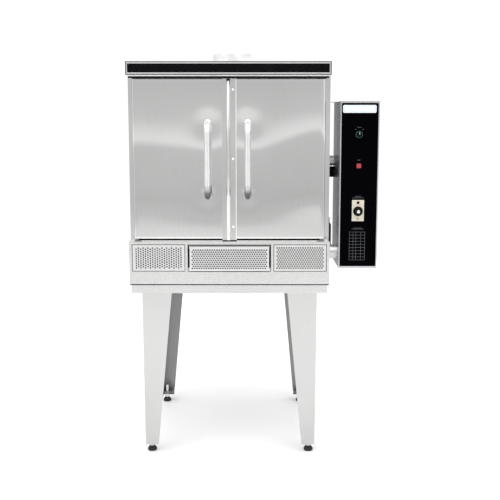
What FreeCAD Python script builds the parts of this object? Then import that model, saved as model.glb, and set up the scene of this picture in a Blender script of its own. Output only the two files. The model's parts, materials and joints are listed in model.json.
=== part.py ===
import FreeCAD, Part
import math
import os
import re
import sys

import Sketcher

# Two-door gas convection oven on a four-leg stand, with a control box beside it.
# +X is to the right, the front faces -Y, +Z is up, and the floor is Z = 0.
# Formulas count X from the oven's centre plane and Y from the front of the base fascia.
# centre_x and fascia_y carry both to the middle of the whole object's footprint.

SIZES = {
    "centre_x": -92.4,
    "fascia_y": -410.65,
    # sheet metal
    "thin": 1.5,
    "thick": 3.0,
    # stand, legs and feet
    "stand_half": 394.0,
    "stand_front": 10.0,
    "stand_rear": 740.0,
    "stand_low": 675.0,
    "stand_top": 708.0,
    "stand_flange": 40.0,
    "leg_corner": 348.1,
    "leg_lean": 4.8,
    "leg_wide": 122.8,
    "leg_narrow": 53.4,
    "leg_head": 705.0,
    "leg_front_low": 37.0,
    "leg_rear_low": 19.0,
    "leg_plate": 50.0,
    "foot_plate": 46.0,
    "nut_radius": 13.0,
    "nut_tall": 8.0,
    "foot_x": 325.5,
    "foot_inset": 42.0,
    "foot_radius": 19.0,
    "foot_tall": 20.0,
    "stem_radius": 8.0,
    "stem_top": 82.0,
    # casing
    "half": 400.0,
    "base_top": 711.0,
    "fascia_low": 714.0,
    "fascia_top": 886.5,
    "frame_y": 59.5,
    "rear_y": 745.0,
    "roof": 1580.0,
    # base fascia: windows, grilles and the burner access door
    "window_low": 765.5,
    "window_top": 874.5,
    "window_outer": 388.3,
    "window_inner": 176.5,
    "window_mid": 164.0,
    "window_gap": 1.2,
    "hole_radius": 3.1,
    "hole_pitch": 9.4,
    "access_half": 158.5,
    "access_low": 767.0,
    "access_top": 867.5,
    "access_pin_y": 5.0,
    "access_pin_z": 772.0,
    "access_pin_radius": 2.5,
    "lip_out": 12.0,
    "lip_drop": 11.0,
    "field_drop": 2.1,
    "lug_gap": 0.7,
    # burners and gas pipe
    "burner_z": 800.0,
    "burner_radius": 19.0,
    "burner_step": 200.0,
    "burner_y": 90.0,
    "burner_long": 520.0,
    "port_step": 40.0,
    "manifold_y": 60.0,
    "post_x": 90.0,
    "valve_y": 195.0,
    "valve_half": 32.0,
    "pipe_radius": 12.0,
    "inlet_radius": 13.3,
    "pipe_x": 300.0,
    # cavity
    "liner_half": 347.0,
    "liner_low": 918.0,
    "liner_top": 1504.0,
    "liner_rear": 665.0,
    "gasket_half": 356.0,
    "gasket_low": 909.0,
    "gasket_top": 1513.0,
    "gasket_wide": 10.0,
    "blanket_low": 890.0,
    "baffle_y": 555.0,
    "baffle_half": 315.0,
    "baffle_low": 940.0,
    "baffle_top": 1482.0,
    "intake_radius": 115.0,
    "intake_bars": 25.0,
    "stay_x": 260.0,
    "stay_z": 221.0,
    "rail_x": 327.0,
    "rail_radius": 3.5,
    "rail_low": 972.0,
    "rail_step": 52.0,
    "post_rail_x": 338.5,
    "rack_front": 76.0,
    "rack_deep": 460.0,
    "wire_step": 36.0,
    # blower
    "blower_z": 1211.0,
    "wheel_radius": 150.0,
    "wheel_front": 578.0,
    "wheel_back": 640.0,
    "shaft_radius": 8.0,
    "motor_radius": 78.0,
    "motor_rear": 894.0,
    "motor_flange": 100.0,
    "fin_step": 12.0,
    "running": 0.05,
    # doors
    "door_front": -7.1,
    "door_back": 53.5,
    "door_half": 376.4,
    "door_seam": 4.5,
    "door_low": 898.7,
    "door_top": 1523.2,
    "door_round": 6.0,
    "pin_x": 366.0,
    "pin_y": 4.0,
    "pin_radius": 4.0,
    "boss_radius": 8.0,
    "boss_tall": 22.0,
    "dish_deep": 6.0,
    "hinge_inner": 348.0,
    "hinge_outer": 378.0,
    # handles
    "handle_left": 82.4,
    "handle_right": 74.0,
    "handle_low": 1067.0,
    "handle_high": 1353.3,
    "handle_radius": 12.7,
    "handle_out": 52.9,
    "handle_bend": 40.0,
    # astragal
    "strip_low": 893.6,
    "strip_top": 1526.2,
    "strip_left": 26.5,
    "strip_right": 29.9,
    "bead_x": 1.9,
    "bead_radius": 7.5,
    "screw_x": 16.6,
    "screw_low": 946.4,
    "screw_step": 267.55,
    # canopy
    "canopy_half": 395.0,
    "canopy_y": -37.8,
    "canopy_low": 1535.6,
    "canopy_top": 1586.6,
    "canopy_bevel": 8.4,
    "insert_half": 387.5,
    # flue
    "flue_half": 87.0,
    "flue_front": 640.0,
    "flue_rear": 736.0,
    "flue_top": 1664.0,
    "flue_collar": 14.0,
    # control box
    "case_left": 433.0,
    "case_right": 584.8,
    "case_front": -20.0,
    "case_rear": 256.0,
    "case_low": 782.5,
    "case_top": 1437.3,
    "border": 6.0,
    "control_x": 507.0,
    "switch_z": 1308.8,
    "bezel_radius": 13.4,
    "dial_radius": 11.2,
    "lamp_z": 1187.6,
    "lamp_half": 9.9,
    "knob_z": 1009.6,
    "plate_half": 23.7,
    "plate_low": 970.5,
    "plate_top": 1054.0,
    "port_z": 1043.5,
    "label_left": 442.4,
    "label_right": 572.1,
    "label_low": 1392.4,
    "label_top": 1422.1,
    "cable_z": 840.0,
    "gland_radius": 11.0,
    # what joins the control box to the oven
    "conduit_y": 76.0,
    "conduit_z": 836.0,
    "conduit_radius": 28.5,
    "coupling_y": 240.0,
    "coupling_z": 1197.0,
    "coupling_radius": 21.0,
    "gland_drop": 47.0,
    "gusset_y": 150.0,
}

TURN_TO = {
    "X": FreeCAD.Rotation(FreeCAD.Vector(0, 1, 0), 90),
    "Y": FreeCAD.Rotation(FreeCAD.Vector(1, 0, 0), -90),
    "Z": FreeCAD.Rotation(),
}
UPRIGHT = FreeCAD.Rotation(FreeCAD.Vector(1, 0, 0), 90)

doc = FreeCAD.newDocument("convection_oven")
sheet = doc.addObject("Spreadsheet::Sheet", "sizes")
pieces = []


# ---------------------------------------------------------------- helpers


def fill_sheet():
    for row, (word, value) in enumerate(SIZES.items(), start=1):
        sheet.set("A%d" % row, word)
        sheet.set("B%d" % row, str(value))
        sheet.setAlias("B%d" % row, word)
    doc.recompute()


def size(word):
    return float(sheet.get(word))


def linked(formula):
    """A formula in plain words, with each size's name tied to its cell."""
    return re.sub(r"[a-z]\w*", lambda word: "sizes." + word.group(0), str(formula))


def number(formula):
    """The present value of a sum or difference of sizes, such as 'roof - thin'."""
    total = 0.0
    for term in re.findall(r"[+-]?[^+-]+", str(formula).replace(" ", "")):
        bare = term.lstrip("+-")
        value = size(bare) if bare in SIZES else float(bare)
        total += -value if term.startswith("-") else value
    return total


def place(thing, x, y, z, turn=None):
    if turn is not None:
        thing.Placement = FreeCAD.Placement(FreeCAD.Vector(), turn)
    thing.setExpression("Placement.Base.x", "sizes.centre_x + (%s)" % linked(x))
    thing.setExpression("Placement.Base.y", "sizes.fascia_y + (%s)" % linked(y))
    thing.setExpression("Placement.Base.z", linked(z))
    return thing


def box(xs, ys, zs):
    """A block between a low and a high formula along each axis."""
    block = doc.addObject("Part::Box", "block")
    for side, (low, high) in zip(("Length", "Width", "Height"), (xs, ys, zs)):
        block.setExpression(side, "(%s) - (%s)" % (linked(high), linked(low)))
    return place(block, xs[0], ys[0], zs[0])


def rod(axis, start, radius, length):
    """A round bar from a start point along an axis."""
    bar = doc.addObject("Part::Cylinder", "bar")
    bar.setExpression("Radius", linked(radius))
    bar.setExpression("Height", linked(length))
    return place(bar, *start, turn=TURN_TO[axis])


def hex_bar(axis, start, radius, length):
    bar = doc.addObject("Part::Prism", "hex_bar")
    bar.Polygon = 6
    bar.setExpression("Circumradius", linked(radius))
    bar.setExpression("Height", linked(length))
    return place(bar, *start, turn=TURN_TO[axis])


def frustum(zs, bottom, top):
    """A block whose rectangle in plan changes evenly from its bottom to its top."""
    wedge = doc.addObject("Part::Wedge", "wedge")
    wedge.setExpression("Ymin", linked(zs[0]))
    wedge.setExpression("Ymax", linked(zs[1]))
    for tag, (xs, ys) in (("", bottom), ("2", top)):
        wedge.setExpression("X%smin" % tag, linked(xs[0]))
        wedge.setExpression("X%smax" % tag, linked(xs[1]))
        wedge.setExpression("Z%smin" % tag, "-(%s)" % linked(ys[1]))
        wedge.setExpression("Z%smax" % tag, "-(%s)" % linked(ys[0]))
    return place(wedge, "0", "0", "0", turn=UPRIGHT)


def fuse(*parts):
    if len(parts) == 1:
        return parts[0]
    union = doc.addObject("Part::MultiFuse", "union")
    union.Shapes = list(parts)
    union.Refine = True
    return union


def cut(base, *tools):
    rest = doc.addObject("Part::Cut", "rest")
    rest.Base = base
    rest.Tool = fuse(*tools)
    rest.Refine = True
    return rest


def group(*parts):
    together = doc.addObject("Part::Compound", "set")
    together.Links = list(parts)
    return together


def twin(thing):
    """The same thing on the other side of the oven's centre plane."""
    copy = doc.addObject("Part::Mirroring", "twin")
    copy.Source = thing
    copy.Normal = FreeCAD.Vector(1, 0, 0)
    copy.setExpression("Base.x", "sizes.centre_x")
    return copy


def piece(label, thing):
    thing.Label = label
    pieces.append(thing)
    return thing


def drawn(shape, x="0", y="0", z="0"):
    """A shape made by Part's own functions in a local frame, then placed by formulas."""
    thing = doc.addObject("Part::Feature", "drawn")
    thing.Shape = shape
    return place(thing, x, y, z)


def start_body(name, x, y, z):
    return place(doc.addObject("PartDesign::Body", name), x, y, z)


def outline(body, plane_role, points):
    """A closed polygon on one of the body's own planes, each corner tied to formulas."""
    sketch = body.newObject("Sketcher::SketchObject", "outline")
    plane = [part for part in body.Origin.OriginFeatures if part.Role == plane_role][0]
    sketch.AttachmentSupport = (plane, [""])
    sketch.MapMode = "FlatFace"
    corners = [FreeCAD.Vector(number(u), number(v), 0) for u, v in points]
    count = len(corners)
    for i in range(count):
        sketch.addGeometry(Part.LineSegment(corners[i], corners[(i + 1) % count]))
    for i in range(count):
        sketch.addConstraint(Sketcher.Constraint("Coincident", i, 2, (i + 1) % count, 1))
    for i, (u, v) in enumerate(points):
        for kind, formula, value in (("DistanceX", u, corners[i].x), ("DistanceY", v, corners[i].y)):
            at = sketch.addConstraint(Sketcher.Constraint(kind, -1, 1, i, 1, value))
            tag = "%s_%d" % (kind, i)
            sketch.renameConstraint(at, tag)
            sketch.setExpression(".Constraints." + tag, linked(formula))
    sketch.Visibility = False
    return sketch


def pad(body, sketch, length):
    feature = body.newObject("PartDesign::Pad", "pad")
    feature.Profile = sketch
    feature.setExpression("Length", linked(length))
    return feature


def revolve(body, sketch):
    feature = body.newObject("PartDesign::Revolution", "revolution")
    feature.Profile = sketch
    feature.ReferenceAxis = (sketch, ["V_Axis"])
    feature.Angle = 360
    return feature


def prism(name, plane_role, points, length, x="0", y="0", z="0"):
    """A sheet or bar of one polygon outline."""
    body = start_body(name, x, y, z)
    pad(body, outline(body, plane_role, points), length)
    return body


def turned(name, profile, x, y, z, turn=None):
    """A turned part: its profile is (radius, height) pairs from the axis and back to it."""
    body = start_body(name, x, y, z)
    revolve(body, outline(body, "XZ_Plane", profile))
    if turn is not None:
        body.Placement = FreeCAD.Placement(body.Placement.Base, turn)
    return body


def perforated(wide, tall, holes, radius, depth):
    """A sheet standing in the XZ plane, centred on its own frame, with round holes."""
    corners = [(-wide / 2, -tall / 2), (wide / 2, -tall / 2), (wide / 2, tall / 2), (-wide / 2, tall / 2)]
    points = [FreeCAD.Vector(x, 0, z) for x, z in corners]
    wires = [Part.makePolygon(points + points[:1])]
    facing = FreeCAD.Vector(0, 1, 0)
    for x, z in holes:
        wires.append(Part.Wire(Part.makeCircle(radius, FreeCAD.Vector(x, 0, z), facing)))
    face = Part.makeFace(wires, "Part::FaceMakerBullseye")
    return face.extrude(FreeCAD.Vector(0, depth, 0))


def staggered(columns, rows, step_x, step_z, shift_columns):
    """Centres of a staggered field of holes: every second row, or column, shifts by half a step."""
    centres = []
    for i in range(columns):
        for j in range(rows):
            x = (i - (columns - 1) / 2) * step_x
            z = (j - (rows - 1) / 2) * step_z
            if shift_columns:
                z += step_z / 4 if i % 2 else -step_z / 4
            else:
                x += step_x / 4 if j % 2 else -step_x / 4
            centres.append((x, z))
    return centres


# ---------------------------------------------------------------- stand


def stand_frame():
    """A welded ring of angle: an outer wall, and a flange on top that carries the oven."""
    walls = box(("-stand_half", "stand_half"), ("stand_front", "stand_rear"), ("stand_low", "stand_top"))
    inside = box(
        ("-stand_half + thick", "stand_half - thick"),
        ("stand_front + thick", "stand_rear - thick"),
        ("stand_low - thick", "stand_top - thick"),
    )
    opening = box(
        ("-stand_half + stand_flange", "stand_half - stand_flange"),
        ("stand_front + stand_flange", "stand_rear - stand_flange"),
        ("stand_low", "stand_top + thick"),
    )
    piece("stand_frame", cut(walls, inside, opening))


def leg_block(low, edge, inset, reach):
    """A tapered block with one upright corner: a folded leg's outside, or its hollow."""
    spans = []
    for lean, width in (("0", "leg_narrow"), ("leg_lean", "leg_wide")):
        xs = (
            "-leg_corner - %s + %s" % (lean, inset),
            "-leg_corner - %s + %s + %s" % (lean, width, reach),
        )
        if edge == "front":
            ys = ("stand_front + thick + " + inset, "stand_front + thick + %s + %s" % (width, reach))
        else:
            ys = ("stand_rear - thick - %s - %s" % (width, reach), "stand_rear - thick - " + inset)
        spans.append((xs, ys))
    return frustum((low, "leg_head"), spans[0], spans[1])


def leg_pair(edge, low, plate_ys, foot_y):
    """A leg folded to an L, tapered to the foot, with a plate and a welded nut inside its end."""
    shell = cut(leg_block(low, edge, "0", "0"), leg_block(low, edge, "thick", "60"))
    plate_xs = ("-leg_corner + 1", "-leg_corner + leg_plate")
    plate = box(plate_xs, plate_ys, ("foot_plate", "foot_plate + thick"))
    nut = hex_bar("Z", ("-foot_x", foot_y, "foot_plate - nut_tall"), "nut_radius", "nut_tall + 0.5")
    bore = rod("Z", ("-foot_x", foot_y, "foot_plate - 20"), "stem_radius + 0.5", "40")
    left = piece("leg_%s_left" % edge, cut(fuse(shell, plate, nut), bore))
    piece("leg_%s_right" % edge, twin(left))


def foot(label, x, y):
    """A levelling foot: a pad that tapers up to its threaded stem."""
    profile = [
        ("0", "0"),
        ("foot_radius - 2", "0"),
        ("foot_radius", "2"),
        ("foot_radius", "9"),
        ("foot_radius - 3", "15"),
        ("foot_radius - 8", "foot_tall"),
        ("stem_radius", "foot_tall"),
        ("stem_radius", "stem_top - 1.5"),
        ("stem_radius - 1.5", "stem_top"),
        ("0", "stem_top"),
    ]
    piece(label, turned(label, profile, x, y, "0"))


def build_stand():
    front = "stand_front + foot_inset"
    rear = "stand_rear - foot_inset"
    stand_frame()
    leg_pair("front", "leg_front_low", ("stand_front + 4", "stand_front + 56"), front)
    leg_pair("rear", "leg_rear_low", ("stand_rear - 56", "stand_rear - 4"), rear)
    for edge, y in (("front", front), ("rear", rear)):
        foot("foot_%s_left" % edge, "-foot_x", y)
        foot("foot_%s_right" % edge, "foot_x", y)


# ---------------------------------------------------------------- casing


def side_panel(label, x):
    """One sheet with a step, because the base stands further forward than the oven above it."""
    profile = [
        ("thin", "base_top"),
        ("rear_y - thin", "base_top"),
        ("rear_y - thin", "roof - thin"),
        ("frame_y + thin", "roof - thin"),
        ("frame_y + thin", "fascia_top - thin"),
        ("thin", "fascia_top - thin"),
    ]
    piece(label, prism(label, "YZ_Plane", profile, "thin", x=x))


def casing_panels():
    piece("base_pan", box(("-half", "half"), ("12", "rear_y - thin"), ("stand_top", "base_top")))
    side_panel("side_panel_left", "-half")
    side_panel("side_panel_right", "half - thin")
    back = box(("-half", "half"), ("rear_y - thin", "rear_y"), ("base_top", "roof - thin"))
    shaft_hole = rod("Y", ("0", "rear_y - 5", "blower_z"), "30", "10")
    gas_hole = rod("Y", ("-pipe_x", "rear_y - 5", "burner_z"), "inlet_radius + 2", "10")
    piece("back_panel", cut(back, shaft_hole, gas_hole))
    top = box(("-half", "half"), ("frame_y", "rear_y"), ("roof - thin", "roof"))
    piece("top_panel", cut(top, flue_block("0.5", "roof - 5", "roof + 5")))


def flue_block(more, low, high):
    xs = ("-flue_half - " + more, "flue_half + " + more)
    return box(xs, ("flue_front - " + more, "flue_rear + " + more), (low, high))


def fascia_window(xs):
    return box(xs, ("-5", "thin + 0.1"), ("window_low", "window_top"))


def fascia_panel():
    """The base's front sheet, with three windows, a shelf under the doors and two hinge lugs."""
    face = box(("-half", "half"), ("0", "thin"), ("fascia_low", "fascia_top"))
    shelf = box(("-half", "half"), ("0", "frame_y + thin"), ("fascia_top - thin", "fascia_top"))
    hem_xs = ("-half + thin + 0.3", "half - thin - 0.3")
    hem = box(hem_xs, ("0", "11"), ("fascia_low", "fascia_low + thin"))
    lugs = []
    for xs in (("-window_mid - 6", "-access_half - lug_gap"), ("access_half + lug_gap", "window_mid + 6")):
        lugs.append(box(xs, ("thin - 0.5", "12"), ("access_pin_z - 10", "access_pin_z + 8")))
    windows = fuse(
        fascia_window(("-window_outer", "-window_inner")),
        fascia_window(("window_inner", "window_outer")),
        fascia_window(("-window_mid", "window_mid")),
    )
    start = ("-window_mid - 10", "access_pin_y", "access_pin_z")
    bore = rod("X", start, "access_pin_radius + running", "2*window_mid + 20")
    clearance = fascia_window(("-window_mid", "window_mid"))
    panel = fuse(cut(fuse(face, shelf, hem), windows), *[cut(lug, clearance) for lug in lugs])
    piece("fascia_panel", cut(panel, bore))


def grille(label, side, columns, rows, step_x, step_z, shift_columns):
    """A perforated sheet set into a window, with a flange behind the fascia."""
    wide = size("window_outer") - size("window_inner") - 2 * size("window_gap")
    tall = size("window_top") - size("window_low") - 2 * size("window_gap")
    holes = staggered(columns, rows, step_x, step_z, shift_columns)
    middle_x = "%s(window_outer + window_inner)/2" % side
    middle_z = "(window_low + window_top)/2"
    sheet_face = perforated(wide, tall, holes, size("hole_radius"), size("thin"))
    face = drawn(sheet_face, x=middle_x, y="0.3", z=middle_z)
    reach = "(window_outer - window_inner)/2"
    flange = box(
        (middle_x + " - %s - 6" % reach, middle_x + " + %s + 6" % reach),
        ("0.3 + thin", "0.3 + 2*thin"),
        ("window_low - 6", "window_top + 6"),
    )
    middle = box(
        (middle_x + " - %s + 8" % reach, middle_x + " + %s - 8" % reach),
        ("0", "10"),
        ("window_low + 8", "window_top - 8"),
    )
    piece(label, fuse(face, cut(flange, middle)))


def access_door():
    """The perforated burner door, hinged on two stub pins, with a channel lip to pull it by."""
    wide = 2 * size("access_half")
    tall = size("access_top") - size("access_low")
    pitch = size("hole_pitch")
    field = staggered(32, 10, pitch, pitch * math.sqrt(3) / 2, False)
    holes = [(x, z - size("field_drop")) for x, z in field]
    panel = perforated(wide, tall, holes, size("hole_radius"), size("thin"))
    face = drawn(panel, z="(access_low + access_top)/2")
    half = ("-access_half", "access_half")
    lip_top = box(half, ("-lip_out", "0.5"), ("access_top - thin", "access_top"))
    lip_front = box(half, ("-lip_out", "thin - lip_out"), ("access_top - lip_drop", "access_top"))
    ends = []
    pins = []
    for start, xs in (
        ("-access_half - 5", ("-access_half", "-access_half + 4")),
        ("access_half - 2", ("access_half - 4", "access_half")),
    ):
        ends.append(box(xs, ("0.5", "9"), ("access_pin_z - 5", "access_pin_z + 5")))
        pins.append(rod("X", (start, "access_pin_y", "access_pin_z"), "access_pin_radius", "7"))
    piece("burner_door", fuse(face, lip_top, lip_front, *ends, *pins))


def canopy():
    """A hood of folded sheet over the doors: square above, bevelled in at its lower edge."""
    half = ("-canopy_half", "canopy_half")
    tucked = ("-canopy_half + canopy_bevel", "canopy_half - canopy_bevel")
    inner = ("-canopy_half + thin", "canopy_half - thin")
    inner_tucked = ("-canopy_half + canopy_bevel + thin", "canopy_half - canopy_bevel - thin")
    low = "canopy_low - canopy_bevel"
    outside = fuse(
        box(half, ("canopy_y", "frame_y"), ("canopy_low", "canopy_top")),
        frustum(
            (low, "canopy_low"),
            (tucked, ("canopy_y + canopy_bevel", "frame_y")),
            (half, ("canopy_y", "frame_y")),
        ),
    )
    hollow = (
        box(inner, ("canopy_y + thin", "frame_y + 1"), ("canopy_low", "canopy_top - thin")),
        frustum(
            (low, "canopy_low"),
            (inner_tucked, ("canopy_y + canopy_bevel + thin", "frame_y + 1")),
            (inner, ("canopy_y + thin", "frame_y + 1")),
        ),
    )
    piece("canopy", cut(outside, *hollow))
    strip = box(
        ("-insert_half", "insert_half"),
        ("canopy_y - 1", "canopy_y"),
        ("canopy_low + 8.8", "canopy_top - 8.2"),
    )
    piece("canopy_insert", strip)


def flue_box():
    """The exhaust duct out of the roof."""
    duct = flue_block("0", "liner_top + 3", "flue_top")
    inside = box(
        ("-flue_half + thin", "flue_half - thin"),
        ("flue_front + thin", "flue_rear - thin"),
        ("liner_top", "flue_top + 5"),
    )
    collar = cut(flue_block("flue_collar", "roof", "roof + thin"), flue_block("-1", "roof - 5", "roof + 5"))
    piece("flue_box", fuse(cut(duct, inside), collar))


def build_casing():
    casing_panels()
    fascia_panel()
    pitch = size("hole_pitch")
    grille("grille_left", "-", 20, 9, pitch, pitch, True)
    grille("grille_right", "", 20, 11, pitch, pitch * math.sqrt(3) / 2, False)
    access_door()
    canopy()
    flue_box()


# ---------------------------------------------------------------- burners


def burner(x):
    """A tube burner with a row of ports along its top, on two feet."""
    tube = rod("Y", (x, "burner_y", "burner_z"), "burner_radius", "burner_long")
    bore = rod("Y", (x, "burner_y - 10", "burner_z"), "burner_radius - 2", "burner_long + 8")
    feet = []
    for y in ("burner_y + 40", "burner_y + burner_long - 50"):
        foot_zs = ("base_top", "burner_z - burner_radius + 1")
        feet.append(box((x + " - 16", x + " + 16"), (y, y + " + thick"), foot_zs))
    ports = []
    for i in range(12):
        ports.append(rod("Z", (x, "burner_y + 35 + %d*port_step" % i, "burner_z"), "2.5", "30"))
    return cut(fuse(tube, *feet), bore, *ports)


def build_burners():
    piece("burner_tubes", group(burner("-burner_step"), burner("0"), burner("burner_step")))
    start = ("-pipe_x - 13", "manifold_y", "burner_z")
    header = rod("X", start, "pipe_radius", "pipe_x + burner_step + 33")
    inlet = rod("Y", ("-pipe_x", "manifold_y", "burner_z"), "pipe_radius", "rear_y + 15 - manifold_y")
    nipple = rod("Y", ("-pipe_x", "rear_y + 5", "burner_z"), "inlet_radius", "30")
    jets = []
    for x in ("-burner_step", "0", "burner_step"):
        jets.append(rod("Y", (x, "manifold_y", "burner_z"), "6", "40"))
    posts = []
    for x in ("-post_x", "post_x"):
        post_ys = ("manifold_y - 2", "manifold_y + 2")
        posts.append(box((x + " - 8", x + " + 8"), post_ys, ("base_top", "burner_z - pipe_radius")))
    piece("gas_manifold", fuse(header, inlet, nipple, *jets, *posts))
    body = box(
        ("-pipe_x - 30", "-pipe_x + 30"),
        ("valve_y - 45", "valve_y + 45"),
        ("burner_z - valve_half", "burner_z + valve_half"),
    )
    solenoid = rod("Z", ("-pipe_x", "valve_y", "burner_z + valve_half - 1"), "20", "40")
    through = rod("Y", ("-pipe_x", "valve_y - 95", "burner_z"), "pipe_radius + running", "200")
    piece("gas_valve", cut(fuse(body, solenoid), through))


# ---------------------------------------------------------------- cavity and blower


def front_frame():
    plate = box(("-half", "half"), ("frame_y", "frame_y + thin"), ("fascia_top", "roof - thin"))
    mouth = box(
        ("-liner_half + thin", "liner_half - thin"),
        ("frame_y - 5", "frame_y + 5"),
        ("liner_low + thin", "liner_top - thin"),
    )
    piece("front_frame", cut(plate, mouth))


def cavity_liner():
    shell = box(
        ("-liner_half", "liner_half"), ("frame_y + thin", "liner_rear"), ("liner_low", "liner_top")
    )
    inside = box(
        ("-liner_half + thin", "liner_half - thin"),
        ("frame_y", "liner_rear - thin"),
        ("liner_low + thin", "liner_top - thin"),
    )
    shaft_hole = rod("Y", ("0", "liner_rear - 5", "blower_z"), "14", "10")
    piece("cavity_liner", cut(shell, inside, shaft_hole))


def body_insulation():
    """Fibre slabs in one blanket round the liner's sides, top and back."""
    blanket = box(("-half + 3", "half - 3"), ("frame_y + 3", "rear_y - 3"), ("blanket_low", "roof - 3"))
    inside = box(
        ("-liner_half - 2", "liner_half + 2"),
        ("frame_y", "liner_rear + 2"),
        ("blanket_low - 10", "liner_top + 2"),
    )
    shaft_hole = rod("Y", ("0", "liner_rear", "blower_z"), "26", "100")
    piece("body_insulation", cut(blanket, inside, shaft_hole, flue_block("1", "liner_top", "roof")))


def door_gasket():
    """Woven rope round the mouth, which the doors close on."""
    ring = box(
        ("-gasket_half", "gasket_half"), ("door_back + 0.2", "frame_y"), ("gasket_low", "gasket_top")
    )
    middle = box(
        ("-gasket_half + gasket_wide", "gasket_half - gasket_wide"),
        ("door_back - 1", "frame_y + 1"),
        ("gasket_low + gasket_wide", "gasket_top - gasket_wide"),
    )
    piece("door_gasket", cut(ring, middle))


def fan_baffle():
    """A sheet across the cavity with a barred intake, on four stays from the liner's back."""
    sheet_ys = ("baffle_y", "baffle_y + thin")
    plate = box(("-baffle_half", "baffle_half"), sheet_ys, ("baffle_low", "baffle_top"))
    intake = rod("Y", ("0", "baffle_y - 5", "blower_z"), "intake_radius", "10")
    bar_zs = ("blower_z - intake_radius - 6", "blower_z + intake_radius + 6")
    bars = []
    for i in range(-4, 5):
        x = "%d*intake_bars" % i
        bars.append(box((x + " - 1.5", x + " + 1.5"), sheet_ys, bar_zs))
    stays = []
    for x in ("-stay_x", "stay_x"):
        for z in ("blower_z - stay_z", "blower_z + stay_z"):
            stays.append(rod("Y", (x, "baffle_y + 0.5", z), "6", "liner_rear - thin - baffle_y - 0.5"))
    piece("fan_baffle", fuse(cut(plate, intake), *bars, *stays))


def rack_support(label, side):
    """A wire ladder that stands on the liner's floor, with a rail at each rack level."""
    post_ys = ("rack_front + 24", "rack_front + 234", "rack_front + 444")
    posts = []
    for y in post_ys:
        posts.append(rod("Z", (side + "post_rail_x", y, "liner_low + thin"), "4", "560"))
    rails = []
    start = "-post_rail_x" if side == "-" else "rail_x"
    for level in range(9):
        z = "rail_low + %d*rail_step" % level
        rails.append(rod("Y", (side + "rail_x", "rack_front - 1", z), "rail_radius", "rack_deep + 5"))
        for y in post_ys:
            rails.append(rod("X", (start, y, z), "3", "post_rail_x - rail_x"))
    piece(label, fuse(*posts, *rails))


def rack(label, level):
    """A wire shelf: two side bars on the rails, three cross bars and a row of light wires."""
    z = "rail_low + %d*rail_step + 2*rail_radius + running" % level
    sides = []
    for x in ("-rail_x", "rail_x"):
        sides.append(rod("Y", (x, "rack_front", z), "rail_radius", "rack_deep"))
    bars = []
    for y in ("rack_front + 4", "rack_front + rack_deep/2", "rack_front + rack_deep - 4"):
        bars.append(rod("X", ("-rail_x", y, z), "rail_radius", "2*rail_x"))
    wires = []
    for i in range(-8, 9):
        start = ("%d*wire_step" % i, "rack_front + 2", z + " + 2")
        wires.append(rod("Y", start, "2.2", "rack_deep - 4"))
    piece(label, fuse(*sides, *bars, *wires))


def disc(radius, y, depth):
    return Part.makeCylinder(radius, depth, FreeCAD.Vector(0, y, 0), FreeCAD.Vector(0, 1, 0))


def blower_wheel():
    """A cage wheel: a back plate and hub, straight blades, and a ring at the front."""
    radius = size("wheel_radius")
    front = size("wheel_front")
    rear = size("wheel_back")
    back = disc(radius, rear, 2)
    hub = disc(22, rear - 36, 46)
    ring = disc(radius, front, 2).cut(disc(radius - 42, front - 4, 10))
    blades = []
    for i in range(16):
        blade = Part.makeBox(2, rear - front, 40, FreeCAD.Vector(-1, front + 1, radius - 41))
        blade.rotate(FreeCAD.Vector(0, 0, 0), FreeCAD.Vector(0, 1, 0), i * 22.5)
        blades.append(blade)
    bore = disc(size("shaft_radius"), front + 2, 90)
    wheel = back.multiFuse([hub, ring] + blades).removeSplitter().cut(bore)
    piece("blower_wheel", drawn(wheel, z="blower_z"))
    piece("blower_shaft", rod("Y", ("0", "wheel_back - 36", "blower_z"), "shaft_radius", "240"))


def fan_motor():
    """A finned motor against a square flange, both bored for the shaft."""
    flange = box(
        ("-motor_flange", "motor_flange"),
        ("rear_y", "rear_y + 5"),
        ("blower_z - motor_flange", "blower_z + motor_flange"),
    )
    can = rod("Y", ("0", "rear_y + 5", "blower_z"), "motor_radius", "motor_rear - rear_y - 5")
    fins = []
    for i in range(7):
        start = ("0", "rear_y + 34 + %d*fin_step" % i, "blower_z")
        fins.append(rod("Y", start, "motor_radius + 6", "5"))
    bores = []
    for _ in range(2):
        bores.append(rod("Y", ("0", "rear_y - 5", "blower_z"), "shaft_radius + running", "110"))
    piece("fan_motor", group(cut(flange, bores[0]), cut(fuse(can, *fins), bores[1])))


def build_cavity():
    front_frame()
    cavity_liner()
    body_insulation()
    door_gasket()
    fan_baffle()
    rack_support("rack_support_left", "-")
    rack_support("rack_support_right", "")
    for label, level in (("rack_lower", 1), ("rack_middle", 4), ("rack_upper", 7)):
        rack(label, level)
    blower_wheel()
    fan_motor()


# ---------------------------------------------------------------- doors


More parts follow.
